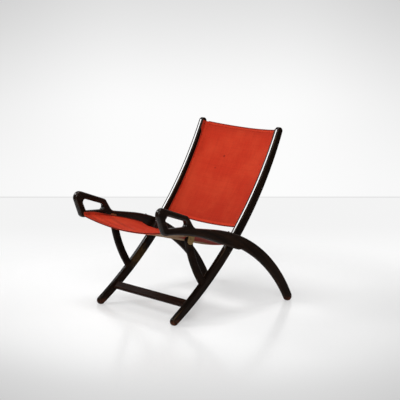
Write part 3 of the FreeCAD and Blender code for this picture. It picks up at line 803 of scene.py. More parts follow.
@dataclass(frozen=True)
class FloorPaper(StudioPaper):
    """The floor: it takes shadows and faint reflections by the chair, and has an even tone further off."""

    grain: Pair = (900.0, 2.0)
    grain_level: Pair = (0.99, 0.02)
    roughness: Pair = (0.16, 0.04)
    near_fall: float = 40.0
    near_band: Pair = (0.3, 1.8)
    corner_fall: float = 25.0
    corner_band: Pair = (0.2, 1.2)
    corner_ahead: Pair = (-0.8, 0.6)
    far_fall: float = 6.0
    far_band: Pair = (-0.9, -1.7)
    veil: float = 0.38
    shadow_band: Pair = (0.85, 1.35)
    edge_band: Pair = (1.15, 1.75)
    edge_level: float = 0.1

    def material(self) -> Material:
        """Builds the finish.

        Returns:
            The material.
        """
        graph = Graph(self.name)
        beside, nearer, height = self.frame_place(graph)
        grain = graph.noise(graph.vector(beside, nearer, height), *self.grain)
        corner = abs(beside).step(*self.corner_band) * nearer.step(*self.corner_ahead)
        level = self.brightest - nearer.step(*self.near_band) * self.near_fall - corner * self.corner_fall
        pale = self.lit(graph, level - nearer.step(*self.far_band) * self.far_fall)
        # Painted shade: towards the far sides the floor's paper darkens, so reflections and bounced light
        # from there are dim, while the camera mostly sees the even tone.
        end = abs(beside).step(*self.edge_band)
        dim = 1 - end + end * self.edge_level
        tint = graph.shade(pale, dim * (self.grain_level[0] + grain * self.grain_level[1]))
        rough = self.roughness[0] + grain * self.roughness[1]
        inputs = {"Base Color": tint, "Roughness": rough}
        paper = graph.node("ShaderNodeBsdfPrincipled", inputs=inputs)[0]
        even = graph.node("ShaderNodeEmission", inputs={"Color": pale})[0]
        far = graph.reach(beside, nearer).step(*self.shadow_band)
        shown = graph.ray("Is Camera Ray") * (far * (1 - self.veil) + self.veil)
        return self.close(graph, shown, paper, even)


class RepeatTree(NodeTree):
    """A geometry node tree that repeats one small shape along its input."""

    def __init__(self, name: str, sizes: Sequence[str]) -> None:
        """Makes the tree with a geometry input, named sizes and a finish.

        Args:
            name: The tree's name.
            sizes: The names of its sizes.
        """
        super().__init__(bpy.data.node_groups.new(name, "GeometryNodeTree"))
        kinds = {"Geometry": "NodeSocketGeometry"}
        kinds.update({label: "NodeSocketFloat" for label in sizes})
        kinds["Finish"] = "NodeSocketMaterial"
        self.sockets = {}
        for label, kind in kinds.items():
            socket = self.tree.interface.new_socket(label, in_out="INPUT", socket_type=kind)
            self.sockets[label] = socket.identifier
        self.tree.interface.new_socket("Geometry", in_out="OUTPUT", socket_type="NodeSocketGeometry")
        self.given = self.node("NodeGroupInput")

    def size(self, label: str) -> Num:
        """One of the tree's named sizes."""
        return Num(self, self.given[label])

    def close(self, instances: Socket) -> "RepeatTree":
        """Makes the instances real, gives them the finish and ends the tree.

        Args:
            instances: What the tree has laid out.

        Returns:
            The tree.
        """
        real = self.node("GeometryNodeRealizeInstances", inputs={"Geometry": instances})[0]
        smooth = self.node("GeometryNodeSetShadeSmooth", inputs={0: real})[0]
        inputs = {"Geometry": smooth, "Material": self.given["Finish"]}
        dressed = self.node("GeometryNodeSetMaterial", inputs=inputs)[0]
        self.node("NodeGroupOutput", inputs={"Geometry": dressed})
        return self

    def grow(self, name: str, mesh: Mesh, finish: Material,
             **sizes: float) -> Piece:
        """Runs the tree on a mesh.

        Args:
            name: The new piece's name.
            mesh: The points or lines to follow.
            finish: The material of what is repeated.
            sizes: The tree's named sizes in metres.

        Returns:
            The finished piece as a plain mesh.
        """
        carrier = bpy.data.objects.new(name, mesh)
        modifier = carrier.modifiers.new("repeat", "NODES")
        modifier.node_group = self.tree
        for label, value in sizes.items():
            modifier[self.sockets[label]] = value
        modifier[self.sockets["Finish"]] = finish
        return settle(carrier)


def settle(carrier: Piece) -> Piece:
    """Turns an object with modifiers into one plain mesh object of the same name.

    Args:
        carrier: The object, not yet in the scene.

    Returns:
        The plain object, linked to the scene.
    """
    name = carrier.name
    bpy.context.scene.collection.objects.link(carrier)
    shaped = carrier.evaluated_get(bpy.context.evaluated_depsgraph_get())
    mesh = bpy.data.meshes.new_from_object(shaped)
    bpy.data.objects.remove(carrier)
    mesh.name = name
    return put(name, mesh)


def stitch_tree() -> RepeatTree:
    """Stitches laid end to end along a line.

    Returns:
        The tree, with sizes Pitch, Length and Radius.
    """
    tree = RepeatTree("stitch_run", ("Pitch", "Length", "Radius"))
    line = tree.node("GeometryNodeMeshToCurve", inputs={"Mesh": tree.given["Geometry"]})[0]
    points = tree.node("GeometryNodeCurveToPoints", {"mode": "LENGTH"},
                       {"Curve": line, "Length": tree.size("Pitch")})
    bead = tree.node("GeometryNodeMeshUVSphere", inputs={"Segments": 6, "Rings": 5, "Radius": 1.0})
    size = tree.vector(tree.size("Radius"), tree.size("Radius"), tree.size("Length"))
    laid = tree.node("GeometryNodeInstanceOnPoints",
                     inputs={"Points": points["Points"], "Instance": bead["Mesh"],
                             "Rotation": points["Rotation"], "Scale": size})[0]
    return tree.close(laid)


def facing_points(tree: RepeatTree, shape: Socket) -> RepeatTree:
    """Ends a tree by setting a shape on each input point, turned the way that the point faces.

    Args:
        tree: The tree.
        shape: The shape, with its top towards Z.

    Returns:
        The tree.
    """
    settings = {"data_type": "FLOAT_VECTOR"}
    way = tree.node("GeometryNodeInputNamedAttribute", settings, {"Name": FACING})[0]
    turned = tree.node("FunctionNodeAlignRotationToVector", {"axis": "Z"}, {"Vector": way})[0]
    points = tree.node("GeometryNodeMeshToPoints", inputs={"Mesh": tree.given["Geometry"]})[0]
    laid = tree.node("GeometryNodeInstanceOnPoints",
                     inputs={"Points": points, "Instance": shape, "Rotation": turned})[0]
    return tree.close(laid)


def domed_head(tree: RepeatTree, segments: int, rings: int, seat: float = -0.25) -> Socket:
    """A round dome of the tree's Radius and Height, with a flat seat.

    Args:
        tree: The tree, which has those two sizes.
        segments: Faces round the dome.
        rings: Faces from pole to pole.
        seat: The seat's level as a share of the height.

    Returns:
        The dome.
    """
    ball = tree.node("GeometryNodeMeshUVSphere", inputs={"Segments": segments, "Rings": rings, "Radius": 1.0})
    x, y, z = tree.split(tree.node("GeometryNodeInputPosition")[0])
    seated = tree.vector(x, y, tree.math("MAXIMUM", z, seat))
    size = tree.vector(tree.size("Radius"), tree.size("Radius"), tree.size("Height"))
    inputs = {"Geometry": ball["Mesh"], "Position": tree.product(seated, size)}
    return tree.node("GeometryNodeSetPosition", inputs=inputs)[0]


def dome_tree() -> RepeatTree:
    """Round domed heads with a flat seat.

    Returns:
        The tree, with sizes Radius and Height.
    """
    tree = RepeatTree("domed_heads", ("Radius", "Height"))
    return facing_points(tree, domed_head(tree, 20, 12))


def slot_tree() -> RepeatTree:
    """Round heads with a straight screwdriver slot.

    Returns:
        The tree, with sizes Radius, Height, Slot_width and Slot_depth.
    """
    tree = RepeatTree("slotted_heads", ("Radius", "Height", "Slot_width", "Slot_depth"))
    head = domed_head(tree, 28, 14)
    size = tree.vector(tree.size("Radius") * 3.0, tree.size("Slot_width"), tree.size("Slot_depth") * 2.0)
    bar = tree.node("GeometryNodeMeshCube", inputs={"Size": size})["Mesh"]
    lift = tree.vector(0.0, 0.0, tree.size("Height"))
    raised = tree.node("GeometryNodeTransform", inputs={"Geometry": bar, "Translation": lift})[0]
    inputs = {"Mesh 1": head, "Mesh 2": raised}
    return facing_points(tree, tree.node("GeometryNodeMeshBoolean", {"operation": "DIFFERENCE"}, inputs)[0])


def facing_mesh(name: str, places: Sequence[Vector], ways: Sequence[Vector]) -> Mesh:
    """Loose points, each with the way that it faces.

    Args:
        name: The mesh's name.
        places: Where the points are.
        ways: The way that each one faces.

    Returns:
        The mesh for a tree to grow on.
    """
    mesh = bpy.data.meshes.new(name)
    mesh.from_pydata([tuple(place) for place in places], [], [])
    way = mesh.attributes.new(FACING, "FLOAT_VECTOR", "POINT")
    way.data.foreach_set("vector", np.array([tuple(each) for each in ways], np.float32).ravel())
    return mesh


def line_mesh(name: str, places: Sequence[Vector]) -> Mesh:
    """A line of edges through places.

    Args:
        name: The mesh's name.
        places: The places in order.

    Returns:
        The mesh for a tree to grow on.
    """
    mesh = bpy.data.meshes.new(name)
    mesh.from_pydata([tuple(place) for place in places], [(i, i + 1) for i in range(len(places) - 1)], [])
    return mesh


@dataclass(frozen=True)
class Finishes:
    """Every material of the chair, made once."""

    stile: Material
    rail: Material
    strut: Material
    stretcher: Material
    back_cloth: Material
    seat_cloth: Material
    hem: Material
    canvas: Material
    dark_thread: Material
    red_thread: Material
    brass: Material
    tack: Material
    steel: Material
    stud: Material


def give_finish(node: str, finish: Material) -> None:
    """Puts a finish on every slot of a CAD node.

    Args:
        node: The node's name.
        finish: The material.
    """
    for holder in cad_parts[node].material_slots:
        holder.material = finish
    LOG.info("dressed %s with %s", node, finish.name)


def finish_piece(piece: Piece, body: str) -> Piece:
    """Makes a new piece ride on its body.

    Args:
        piece: The piece.
        body: The body that carries it.

    Returns:
        The piece.
    """
    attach(piece, body)
    LOG.info("made %s on %s, %d faces", piece.name, body, len(piece.data.polygons))
    return piece


@dataclass
class Timber:
    """The wooden members, which keep their solids and get a lacquered finish."""

    stiles: tuple[str, ...] = ("left_stile_leg", "right_stile_leg")
    rails: tuple[str, ...] = ("left_arm_rail", "right_arm_rail")
    struts: tuple[str, ...] = ("left_strut", "right_strut")
    cross: tuple[str, ...] = ("front_stretcher",)

    def dress(self, finishes: Finishes) -> None:
        """Gives each member the finish whose grain follows its bend.

        Args:
            finishes: The chair's materials.
        """
        groups = ((self.stiles, finishes.stile), (self.rails, finishes.rail),
                  (self.struts, finishes.strut), (self.cross, finishes.stretcher))
        for nodes, finish in groups:
            for node in nodes:
                give_finish(node, finish)


@dataclass
class Sling:
    """A cloth sling between two members: cover and lining, hems at the ends and tacks at the sides."""

    name: str
    body: str
    holders: tuple[str, str]
    wood_face: float
    flange: float
    stations: Triple
    sags: Triple
    tack_ends: Pair
    tack_skip: Optional[Pair] = None
    tails: tuple[Optional[Pair], Optional[Pair]] = (None, None)
    cloth_thickness: float = 0.0012
    cloth_gap: float = 0.0002
    cell: float = 0.008
    corner_steps: tuple[float, ...] = (0.0015, 0.0035, 0.006, 0.0095, 0.014)
    flange_shares: tuple[float, ...] = (0.15, 0.35, 0.65, 1.0)
    soft_passes: int = 2
    ripple: float = 0.0007
    ripple_scale: Triple = (9.0, 6.0, 40.0)
    ripple_rise: float = 0.05
    pull: float = 0.0008
    pull_rise: float = 0.008
    pull_reach: float = 0.028
    tack_pitch: float = 0.052
    tack_inset: float = 0.014
    tack_radius: float = 0.0022
    tack_height: float = 0.0011
    hem_width: float = 0.012
    hem_cloth: float = 0.0008
    hem_gap: float = 0.0001
    hem_margin: float = 0.012
    hem_laps: tuple[float, ...] = (1.0, 0.75, 0.5, 0.25, 0.0)
    hem_turn_steps: int = 7
    tail_margin: float = 0.001
    stitch_margin: float = 0.004
    stitch_inset: float = 0.009
    stitch_pitch: float = 0.0044
    stitch_length: float = 0.0015
    stitch_radius: float = 0.00035
    stitch_line_points: int = 140
    measured_stations: int = 90

    def line(self, along: float) -> tuple[Vector, Vector]:
        """Where the cloth leaves the members at a station, and the way it hangs from there."""
        raise NotImplementedError

    def flange_at(self, along: float) -> float:
        """The flange's width at a station."""
        return self.flange

    def curve(self, values: Triple, along: float) -> float:
        """The value at a station, on a parabola through the three that are given."""
        return float(np.polyval(np.polyfit(self.stations, values, 2), along))

    def hollow(self, along: float, half: float) -> Pair:
        """The web's sag at a station, and the radius of the arc that it hangs in."""
        sag = self.curve(self.sags, along)
        return sag, (half * half + sag * sag) / (2 * sag)

    def tack_stations(self) -> list[float]:
        """Where the tacks are along one side.

        Returns:
            Their stations.
        """
        start, end = self.tack_ends
        count = round((end - start - 2 * self.tack_inset) / self.tack_pitch)
        places = np.linspace(start + self.tack_inset, end - self.tack_inset, count + 1)
        low, high = self.tack_skip or (end, end)
        return [float(at) for at in places if not low < at < high]

    def wave(self, x: float, along: float, half: float) -> float:
        """How far the cloth stands off its plain curve: slow waves, and pulls between the tacks.

        Args:
            x: Distance from the middle plane.
            along: The station.
            half: Half the span.

        Returns:
            The distance along the way the cloth hangs.
        """
        edge = max(half - abs(x), 0.0)
        rise = min(edge / self.ripple_rise, 1.0)
        across_scale, along_scale, face_scale = self.ripple_scale
        slow = noise.noise(Vector((x * across_scale, along * along_scale, self.wood_face * face_scale)))
        start, end = self.tack_ends
        turns = (along - start - self.tack_inset) / self.tack_pitch
        held = 1.0 if start <= along <= end else 0.0
        pulled = 0.5 - 0.5 * math.cos(2 * math.pi * turns)
        near = min(edge / self.pull_rise, 1.0) * math.exp(-edge / self.pull_reach)
        return self.ripple * rise * slow + self.pull * held * near * pulled

    def layer_sizes(self, layer: int) -> Pair:
        """Half span and lift of a layer's middle; layer 0 is the lining and 1 the cover."""
        step, wall = layer * (self.cloth_thickness + self.cloth_gap), self.cloth_thickness / 2
        return self.wood_face - self.cloth_gap - step - wall, step + wall

    def divide(self, stops: Sequence[float]) -> list[float]:
        """Places from the first stop to the last, about a cell apart.

        Args:
            stops: Places that are kept, in order.

        Returns:
            The places.
        """
        places = []
        for low, high in zip(stops, stops[1:]):
            count = max(round((high - low) / self.cell), 1)
            places += list(np.linspace(low, high, count + 1))[:-1]
        return [float(place) for place in places] + [stops[-1]]

    def columns(self, layer: int) -> list[Pair]:
        """The cloth's columns across: flange, corner, web, corner, flange.

        Args:
            layer: 0 for the lining, 1 for the cover.

        Returns:
            For each column its x and its share of the way up the flange, which is 0 on the web.
        """
        half, _ = self.layer_sizes(layer)
        tail = self.tails[layer]
        inner = half - self.corner_steps[-1]
        web = self.divide([-inner, -tail[0], tail[0], inner] if tail else [-inner, inner])
        side = [(half, share) for share in reversed(self.flange_shares)] + [(half, 0.0)]
        side += [(half - step, 0.0) for step in self.corner_steps[:-1]]
        other = [(-x, share) for x, share in reversed(side)]
        return side + [(x, 0.0) for x in reversed(web)] + other

    def rows(self, layer: int) -> list[float]:
        """The stations of a layer's rows, one of them where its tail starts."""
        start, end, tail = self.stations[0], self.stations[2], self.tails[layer]
        return self.divide([start, tail[1], end] if tail else [start, end])

    def surface(self, x: float, share: float, along: float, layer: int, out: float = 0.0) -> Vector:
        """A point of a layer's middle surface.

        Args:
            x: Distance from the middle plane.
            share: Share of the way up the flange, 0 on the web.
            along: The station.
            layer: 0 for the lining, 1 for the cover.
            out: Distance off the surface, away from the sitter.

        Returns:
            The point.
        """
        half, lift = self.layer_sizes(layer)
        sag, radius = self.hollow(along, half)
        drop = math.sqrt(max(radius * radius - x * x, 0.0)) - (radius - sag)
        if share == 0.0:
            drop += self.wave(x, along, half)
        origin, hang = self.line(along)
        return Vector((x, 0.0, 0.0)) + origin + hang * (drop - lift - share * self.flange_at(along) + out)

    def sheet(self, label: str, layer: int, finish: Material) -> Piece:
        """Builds the cover or the lining as one closed sheet with its own map.

        Args:
            label: The piece's name.
            layer: 0 for the lining, 1 for the cover.
            finish: The cloth's material.

        Returns:
            The piece.
        """
        columns = self.columns(layer)
        rows = self.rows(layer)
        grid = np.array([[tuple(self.surface(x, share, at, layer)) for x, share in columns] for at in rows])
        for _ in range(self.soft_passes):
            soft = 0.25 * grid[:, :-2] + 0.5 * grid[:, 1:-1] + 0.25 * grid[:, 2:]
            grid[:, 1:-1] = soft
        keep = np.ones((len(rows), len(columns)), bool)
        tail = self.tails[layer]
        if tail:
            past = [at > tail[1] + HAIR for at in rows]
            for j, (x, share) in enumerate(columns):
                if share > 0 or abs(x) > tail[0] + HAIR:
                    keep[past, j] = False
        rim = np.array([[share for _, share in columns]] * len(rows))
        return self.mesh_piece(label, grid, keep, rim, self.cloth_thickness, finish)

    def cloth_map(self, grid: np.ndarray) -> np.ndarray:
        """Places on the flat cloth, measured from its middle.

        Args:
            grid: Points by row and column.

        Returns:
            Distance across and along for each point.
        """
        steps = np.linalg.norm(np.diff(grid, axis=1), axis=2)
        across = np.concatenate([np.zeros((len(grid), 1)), np.cumsum(steps, axis=1)], axis=1)
        across -= across[:, -1:] / 2
        middle = grid[:, grid.shape[1] // 2]
        length = np.concatenate([[0.0], np.cumsum(np.linalg.norm(np.diff(middle, axis=0), axis=1))])
        along = np.repeat((length - length[-1] / 2)[:, None], grid.shape[1], axis=1)
        return np.stack([across, along], axis=2)

    def mesh_piece(self, label: str, grid: np.ndarray, keep: np.ndarray, rim: np.ndarray, thickness: float,
                   finish: Material) -> Piece:
        """Turns a grid of points into a closed sheet.

        Args:
            label: The piece's name.
            grid: Points by row and column.
            keep: Which points are part of the sheet.
            rim: Each point's share of the way up the flange.
            thickness: The cloth's thickness.
            finish: The cloth's material.

        Returns:
            The piece as a plain mesh.
        """
        number = -np.ones(keep.shape, int)
        number[keep] = np.arange(keep.sum())
        faces = []
        for i in range(keep.shape[0] - 1):
            for j in range(keep.shape[1] - 1):
                corners = [number[i, j], number[i, j + 1], number[i + 1, j + 1], number[i + 1, j]]
                if min(corners) >= 0:
                    faces.append([int(corner) for corner in corners])
        mesh = bpy.data.meshes.new(label)
        mesh.from_pydata(grid[keep].tolist(), [], faces)
        corner = np.zeros(len(mesh.loops), int)
        mesh.loops.foreach_get("vertex_index", corner)
        flat = self.cloth_map(grid)[keep][corner]
        mesh.uv_layers.new(name=CLOTH_MAP).data.foreach_set("uv", flat.astype(np.float32).ravel())
        mesh.attributes.new(RIM, "FLOAT", "POINT").data.foreach_set("value", rim[keep].astype(np.float32))
        mesh.materials.append(finish)
        carrier = bpy.data.objects.new(label, mesh)
        wall = carrier.modifiers.new("wall", "SOLIDIFY")
        wall.thickness = thickness
        wall.offset = 0.0
        smooth = carrier.modifiers.new("smooth", "SUBSURF")
        smooth.levels = 1
        smooth.render_levels = 1
        piece = settle(carrier)
        for face in piece.data.polygons:
            face.use_smooth = True
        return piece

    def hem(self, label: str, end: float, outward: float, half: float,
            finish: Material) -> Piece:
        """A folded strip that binds the free edges of cover and lining.

        Args:
            label: The piece's name.
            end: The station of the free edge.
            outward: 1 where stations grow past the edge, -1 where they shrink.
            half: Half the strip's length.
            finish: The cloth's material.

        Returns:
            The piece.
        """
        front = -(self.cloth_thickness / 2 + self.hem_cloth / 2 + self.hem_gap)
        back = self.cloth_thickness * 1.5 + self.cloth_gap + self.hem_cloth / 2 + self.hem_gap
        middle, radius = (front + back) / 2, (back - front) / 2
        path = [(-self.hem_width * share, front) for share in self.hem_laps]
        for k in range(1, self.hem_turn_steps):
            angle = math.pi * k / self.hem_turn_steps
            path.append((radius * math.sin(angle), middle - radius * math.cos(angle)))
        path += [(-self.hem_width * share, back) for share in reversed(self.hem_laps)]
        count = round(2 * half / self.cell)
        grid = np.array([[tuple(self.surface(float(x), 0.0, end + outward * reach, 1, out))
                          for x in np.linspace(-half, half, count + 1)] for reach, out in path])
        shape = grid.shape[:2]
        return self.mesh_piece(label, grid, np.ones(shape, bool), np.zeros(shape), self.hem_cloth, finish)

    def stitches(self, label: str, end: float, outward: float, half: float, tree: RepeatTree,
                 finish: Material) -> Piece:
        """The run of stitches that closes a hem, on its front.

        Args:
            label: The piece's name.
            end: The station of the free edge.
            outward: 1 where stations grow past the edge, -1 where they shrink.
            half: Half the run's length.
            tree: The stitches' geometry node tree.
            finish: The thread's material.

        Returns:
            The piece.
        """
        off = -(self.cloth_thickness / 2 + self.hem_cloth + self.hem_gap)
        at = end - outward * self.stitch_inset
        stops = np.linspace(-half, half, self.stitch_line_points)
        places = [self.surface(float(x), 0.0, at, 1, off) for x in stops]
        return tree.grow(label, line_mesh(label, places), finish, Pitch=self.stitch_pitch,
                         Length=self.stitch_length, Radius=self.stitch_radius)

    def tacks(self, tree: RepeatTree, finish: Material) -> Piece:
        """The domed tacks along both flanges.

        Args:
            tree: The domed heads' geometry node tree.
            finish: The tacks' material.

        Returns:
            The piece.
        """
        places, ways = [], []
        face = self.wood_face - 2 * (self.cloth_thickness + self.cloth_gap)
        for side in SIDES.values():
            for at in self.tack_stations():
                origin, hang = self.line(at)
                places.append(Vector((side * face, 0.0, 0.0)) + origin - hang * self.flange_at(at) / 2)
                ways.append(Vector((-side, 0.0, 0.0)))
        label = f"{self.name}_dome_tacks"
        return tree.grow(label, facing_mesh(label, places, ways), finish,
                         Radius=self.tack_radius, Height=self.tack_height)

    def build(self, cloth: Material, thread: Material, finishes: Finishes,
              stitch: RepeatTree, dome: RepeatTree) -> None:
        """Makes every piece of the sling, and works out each sheet's flat size.

        Args:
            cloth: The cover's material.
            thread: The stitches' material.
            finishes: The chair's other materials.
            stitch: The stitches' tree.
            dome: The domed heads' tree.
        """
        cover = finish_piece(self.sheet(f"{self.name}_cloth", 1, cloth), self.body)
        canvas = self.sheet(f"{self.name}_canvas", 0, finishes.canvas)
        lining = finish_piece(canvas, self.body)
        half, _ = self.layer_sizes(1)
        trims = []
        ends = {"low": (self.stations[0], -1.0), "high": (self.stations[2], 1.0)}
        for end, (at, outward) in ends.items():
            reach = half - self.hem_margin
            if self.tails[1] and end == "high":
                reach = self.tails[1][0] - self.tail_margin
            hem = self.hem(f"{self.name}_{end}_hem", at, outward, reach, finishes.hem)
            trims.append(finish_piece(hem, self.body))
            run = self.stitches(f"{self.name}_{end}_stitches", at, outward,
                                reach - self.stitch_margin, stitch, thread)
            trims.append(finish_piece(run, self.body))
        tacks = finish_piece(self.tacks(dome, finishes.tack), self.body)
        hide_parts(f"{self.name}_cover")
        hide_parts(f"{self.name}_lining")
        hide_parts(f"{self.name}_tacks")
        for piece, layer, extra in ((cover, 1, trims), (lining, 0, [])):
            width, length, area = self.flat_size(layer)
            list(self.holders)
            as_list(extra)

    def flat_size(self, layer: int) -> Triple:
        """The size that a layer is cut to.

        Args:
            layer: 0 for the lining, 1 for the cover.

        Returns:
            Its width, its length and its area.
        """
        half, _ = self.layer_sizes(layer)
        tail = self.tails[layer]
        ends = np.linspace(self.stations[0], self.stations[2], self.measured_stations)
        stops = [float(at) for at in ends]
        middle = [self.surface(0.0, 0.0, at, layer) for at in stops]
        steps = [(b - a).length for a, b in zip(middle, middle[1:])]
        widths = []
        for low, high in zip(stops, stops[1:]):
            at = (low + high) / 2
            _, radius = self.hollow(at, half)
            edge = tail[0] if tail and at > tail[1] else half
            flange = 0.0 if edge < half else self.flange_at(at)
            widths.append(2 * radius * math.asin(edge / radius) + 2 * flange)
        return max(widths), sum(steps), sum(step * width for step, width in zip(steps, widths))


@dataclass
class BackSling(Sling):
    """The back's sling, between the stiles, with wider tabs at the stiles' tops."""

    name: str = "back"
    body: str = "back_frame"
    holders: tuple[str, str] = ("left_stile_leg", "right_stile_leg")
    wood_face: float = 0.2239
    flange: float = 0.009
    stations: Triple = (0.070, 0.297, 0.520)
    sags: Triple = (0.027, 0.033, 0.034)
    tack_ends: Pair = (0.074, 0.520)
    pivot: Pair = (0.0564, 0.303)
    bend: float = 1.642
    pitch: float = 49.1
    tab: float = 0.011
    tab_length: float = 0.042
    tab_fade: float = 0.008

    def bend_centre(self) -> Pair:
        """The centre of the stiles' bend, as (y, z)."""
        away = heading(self.pitch - 90)
        return self.pivot[0] - self.bend * away[0], self.pivot[1] - self.bend * away[1]

    def on_stile(self, along: float, behind: float = 0.0) -> tuple[Vector, Vector]:
        """A point by the stiles' middle line.

        Args:
            along: The station.
            behind: How far the point is behind the line.

        Returns:
            The point, and the way square to the bend.
        """
        centre = Vector((0.0, *self.bend_centre()))
        out = Vector((0.0, *heading(self.pitch - 90 + math.degrees(along / self.bend))))
        return centre + out * (self.bend + behind), out

    def line(self, along: float) -> tuple[Vector, Vector]:
        """Where the cloth leaves the stiles, and the way it hangs, square to their bend."""
        return self.on_stile(along, self.flange)

    def flange_at(self, along: float) -> float:
        """The flange's width, with the tab at the top."""
        start = self.stations[2] - self.tab_length
        return self.flange + self.tab * ease(start - self.tab_fade, start, along)


@dataclass
class SeatSling(Sling):
    """The seat's sling, between the arm rails, narrowed at its rear to pass between the stiles."""

    name: str = "seat"
    body: str = "seat_frame"
    holders: tuple[str, str] = ("left_arm_rail", "right_arm_rail")
    wood_face: float = 0.2505
    flange: float = 0.004
    stations: Triple = (-0.3446, -0.1906, 0.0424)
    sags: Triple = (0.024, 0.041, 0.030)
    tack_ends: Pair = (-0.3446, -0.0196)
    tack_skip: Optional[Pair] = (-0.21087, -0.16887)
    tails: tuple[Optional[Pair], Optional[Pair]] = ((0.135, -0.165), (0.2139, -0.0196))
    stitch_inset: float = 0.004
    stitch_pitch: float = 0.006
    stitch_length: float = 0.0018
    stitch_radius: float = 0.0006
    heights: Triple = (0.39136, 0.36774, 0.2923)
    front_flange: float = 0.016
    flange_fall: Pair = (-0.29, -0.14)
    flange_power: float = 1.6
    crease: float = 0.0024
    crease_pitch: float = 0.07
    crease_reach: float = 0.2
    crease_rise: float = 0.06

    def line(self, along: float) -> tuple[Vector, Vector]:
        """Where the cloth leaves the rails, and straight down from there."""
        return Vector((0.0, along, self.curve(self.heights, along))), Vector((0.0, 0.0, -1.0))

    def flange_at(self, along: float) -> float:
        """The flange's width, which falls off from its front.

        Args:
            along: The station.

        Returns:
            The width.
        """
        start, end = self.flange_fall
        share = min(max((end - along) / (end - start), 0.0), 1.0)
        return self.flange + (self.front_flange - self.flange) * share ** self.flange_power

    def wave(self, x: float, along: float, half: float) -> float:
        """The plain waves and pulls, with creases along the front edge.

        Args:
            x: Distance from the middle plane.
            along: The station.
            half: Half the span.

        Returns:
            The distance along the way the cloth hangs.
        """
        behind = max(along - self.stations[0], 0.0)
        fold = math.sin(2 * math.pi * behind / self.crease_pitch) * math.exp(-behind / self.crease_reach)
        slack = ease(0.0, self.crease_rise, half - abs(x))
        return super().wave(x, along, half) + self.crease * slack * fold


@dataclass
class Fittings:
    """Plates, rivets, bolts, screws and studs, with the heads that show on them."""

    body: str = "seat_frame"
    brass_nodes: tuple[str, ...] = ("strut_plate", "strut_rivet", "pivot_washer", "pivot_bush",
                                    "pivot_insert")
    steel_nodes: tuple[str, ...] = ("strut_stop", "pivot_bolt")
    pivot: Pair = (0.0564, 0.303)
    bolt_face: float = 0.2237
    bolt_radius: float = 0.0096
    bolt_height: float = 0.0064
    slot_width: float = 0.0016
    slot_depth: float = 0.0015
    rivet: Pair = (-0.19051, 0.34057)
    rivet_face: float = 0.2242
    rivet_radius: float = 0.0068
    rivet_height: float = 0.003
    stud: Pair = (0.01089, 0.35086)
    stud_x: float = 0.263
    stud_lean: float = 72.0
    stud_radius: float = 0.0037
    stud_height: float = 0.0035

    def dress(self, finishes: Finishes) -> None:
        """Gives the metal solids their finishes.

        Args:
            finishes: The chair's materials.
        """
        for side in SIDES:
            for node in self.brass_nodes:
                give_finish(f"{side}_{node}", finishes.brass)
            for node in self.steel_nodes:
                give_finish(f"{side}_{node}", finishes.steel)
        give_finish("strut_plate_screws", finishes.steel)

    def heads(self, label: str, place: Triple, way: Vector, tree: RepeatTree,
              finish: Material, **sizes: float) -> Piece:
        """One head on each side of the chair.

        Args:
            label: The piece's name.
            place: Where the left one sits.
            way: The way that the left one faces.
            tree: The heads' geometry node tree.
            finish: Their material.
            sizes: The tree's sizes.

        Returns:
            The piece.
        """
        places = [Vector((side * place[0], place[1], place[2])) for side in SIDES.values()]
        ways = [Vector((side * way.x, way.y, way.z)) for side in SIDES.values()]
        return tree.grow(label, facing_mesh(label, places, ways), finish, **sizes)

    def build(self, finishes: Finishes, dome: RepeatTree, slotted: RepeatTree) -> None:
        """Makes the heads.

        Args:
            finishes: The chair's materials.
            dome: The domed heads' tree.
            slotted: The slotted heads' tree.
        """
        inward = Vector((-1.0, 0.0, 0.0))
        bolts = self.heads("pivot_bolt_heads", (self.bolt_face, *self.pivot), inward, slotted, finishes.steel,
                           Radius=self.bolt_radius, Height=self.bolt_height,
                           Slot_width=self.slot_width, Slot_depth=self.slot_depth)
        rivets = self.heads("strut_rivet_heads", (self.rivet_face, *self.rivet), inward, dome, finishes.brass,
                            Radius=self.rivet_radius, Height=self.rivet_height)
        upward = Vector((0.0, *heading(self.stud_lean)))
        studs = self.heads("rail_stud_domes", (self.stud_x, *self.stud), upward, dome, finishes.stud,
                           Radius=self.stud_radius, Height=self.stud_height)
        finish_piece(bolts, self.body)
        finish_piece(rivets, self.body)
        finish_piece(studs, self.body)
        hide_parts("rail_studs")


@dataclass(frozen=True)
class SoftBox:
    """A flat lamp that faces the chair, at a turn from straight ahead towards the chair's left."""

    name: str
    turn: float
    lift: float
    distance: float
    size: Pair
    power: float

    def hang(self, aim: Vector) -> None:
        """Hangs the lamp round an aim.

        Args:
            aim: What the lamp faces.
        """
        data = bpy.data.lights.new(self.name, "AREA")
        data.shape = "RECTANGLE"
        data.size, data.size_y = self.size
        data.energy = self.power
        put_facing(self.name, data, aim, way_to(self.turn, self.lift), self.distance)


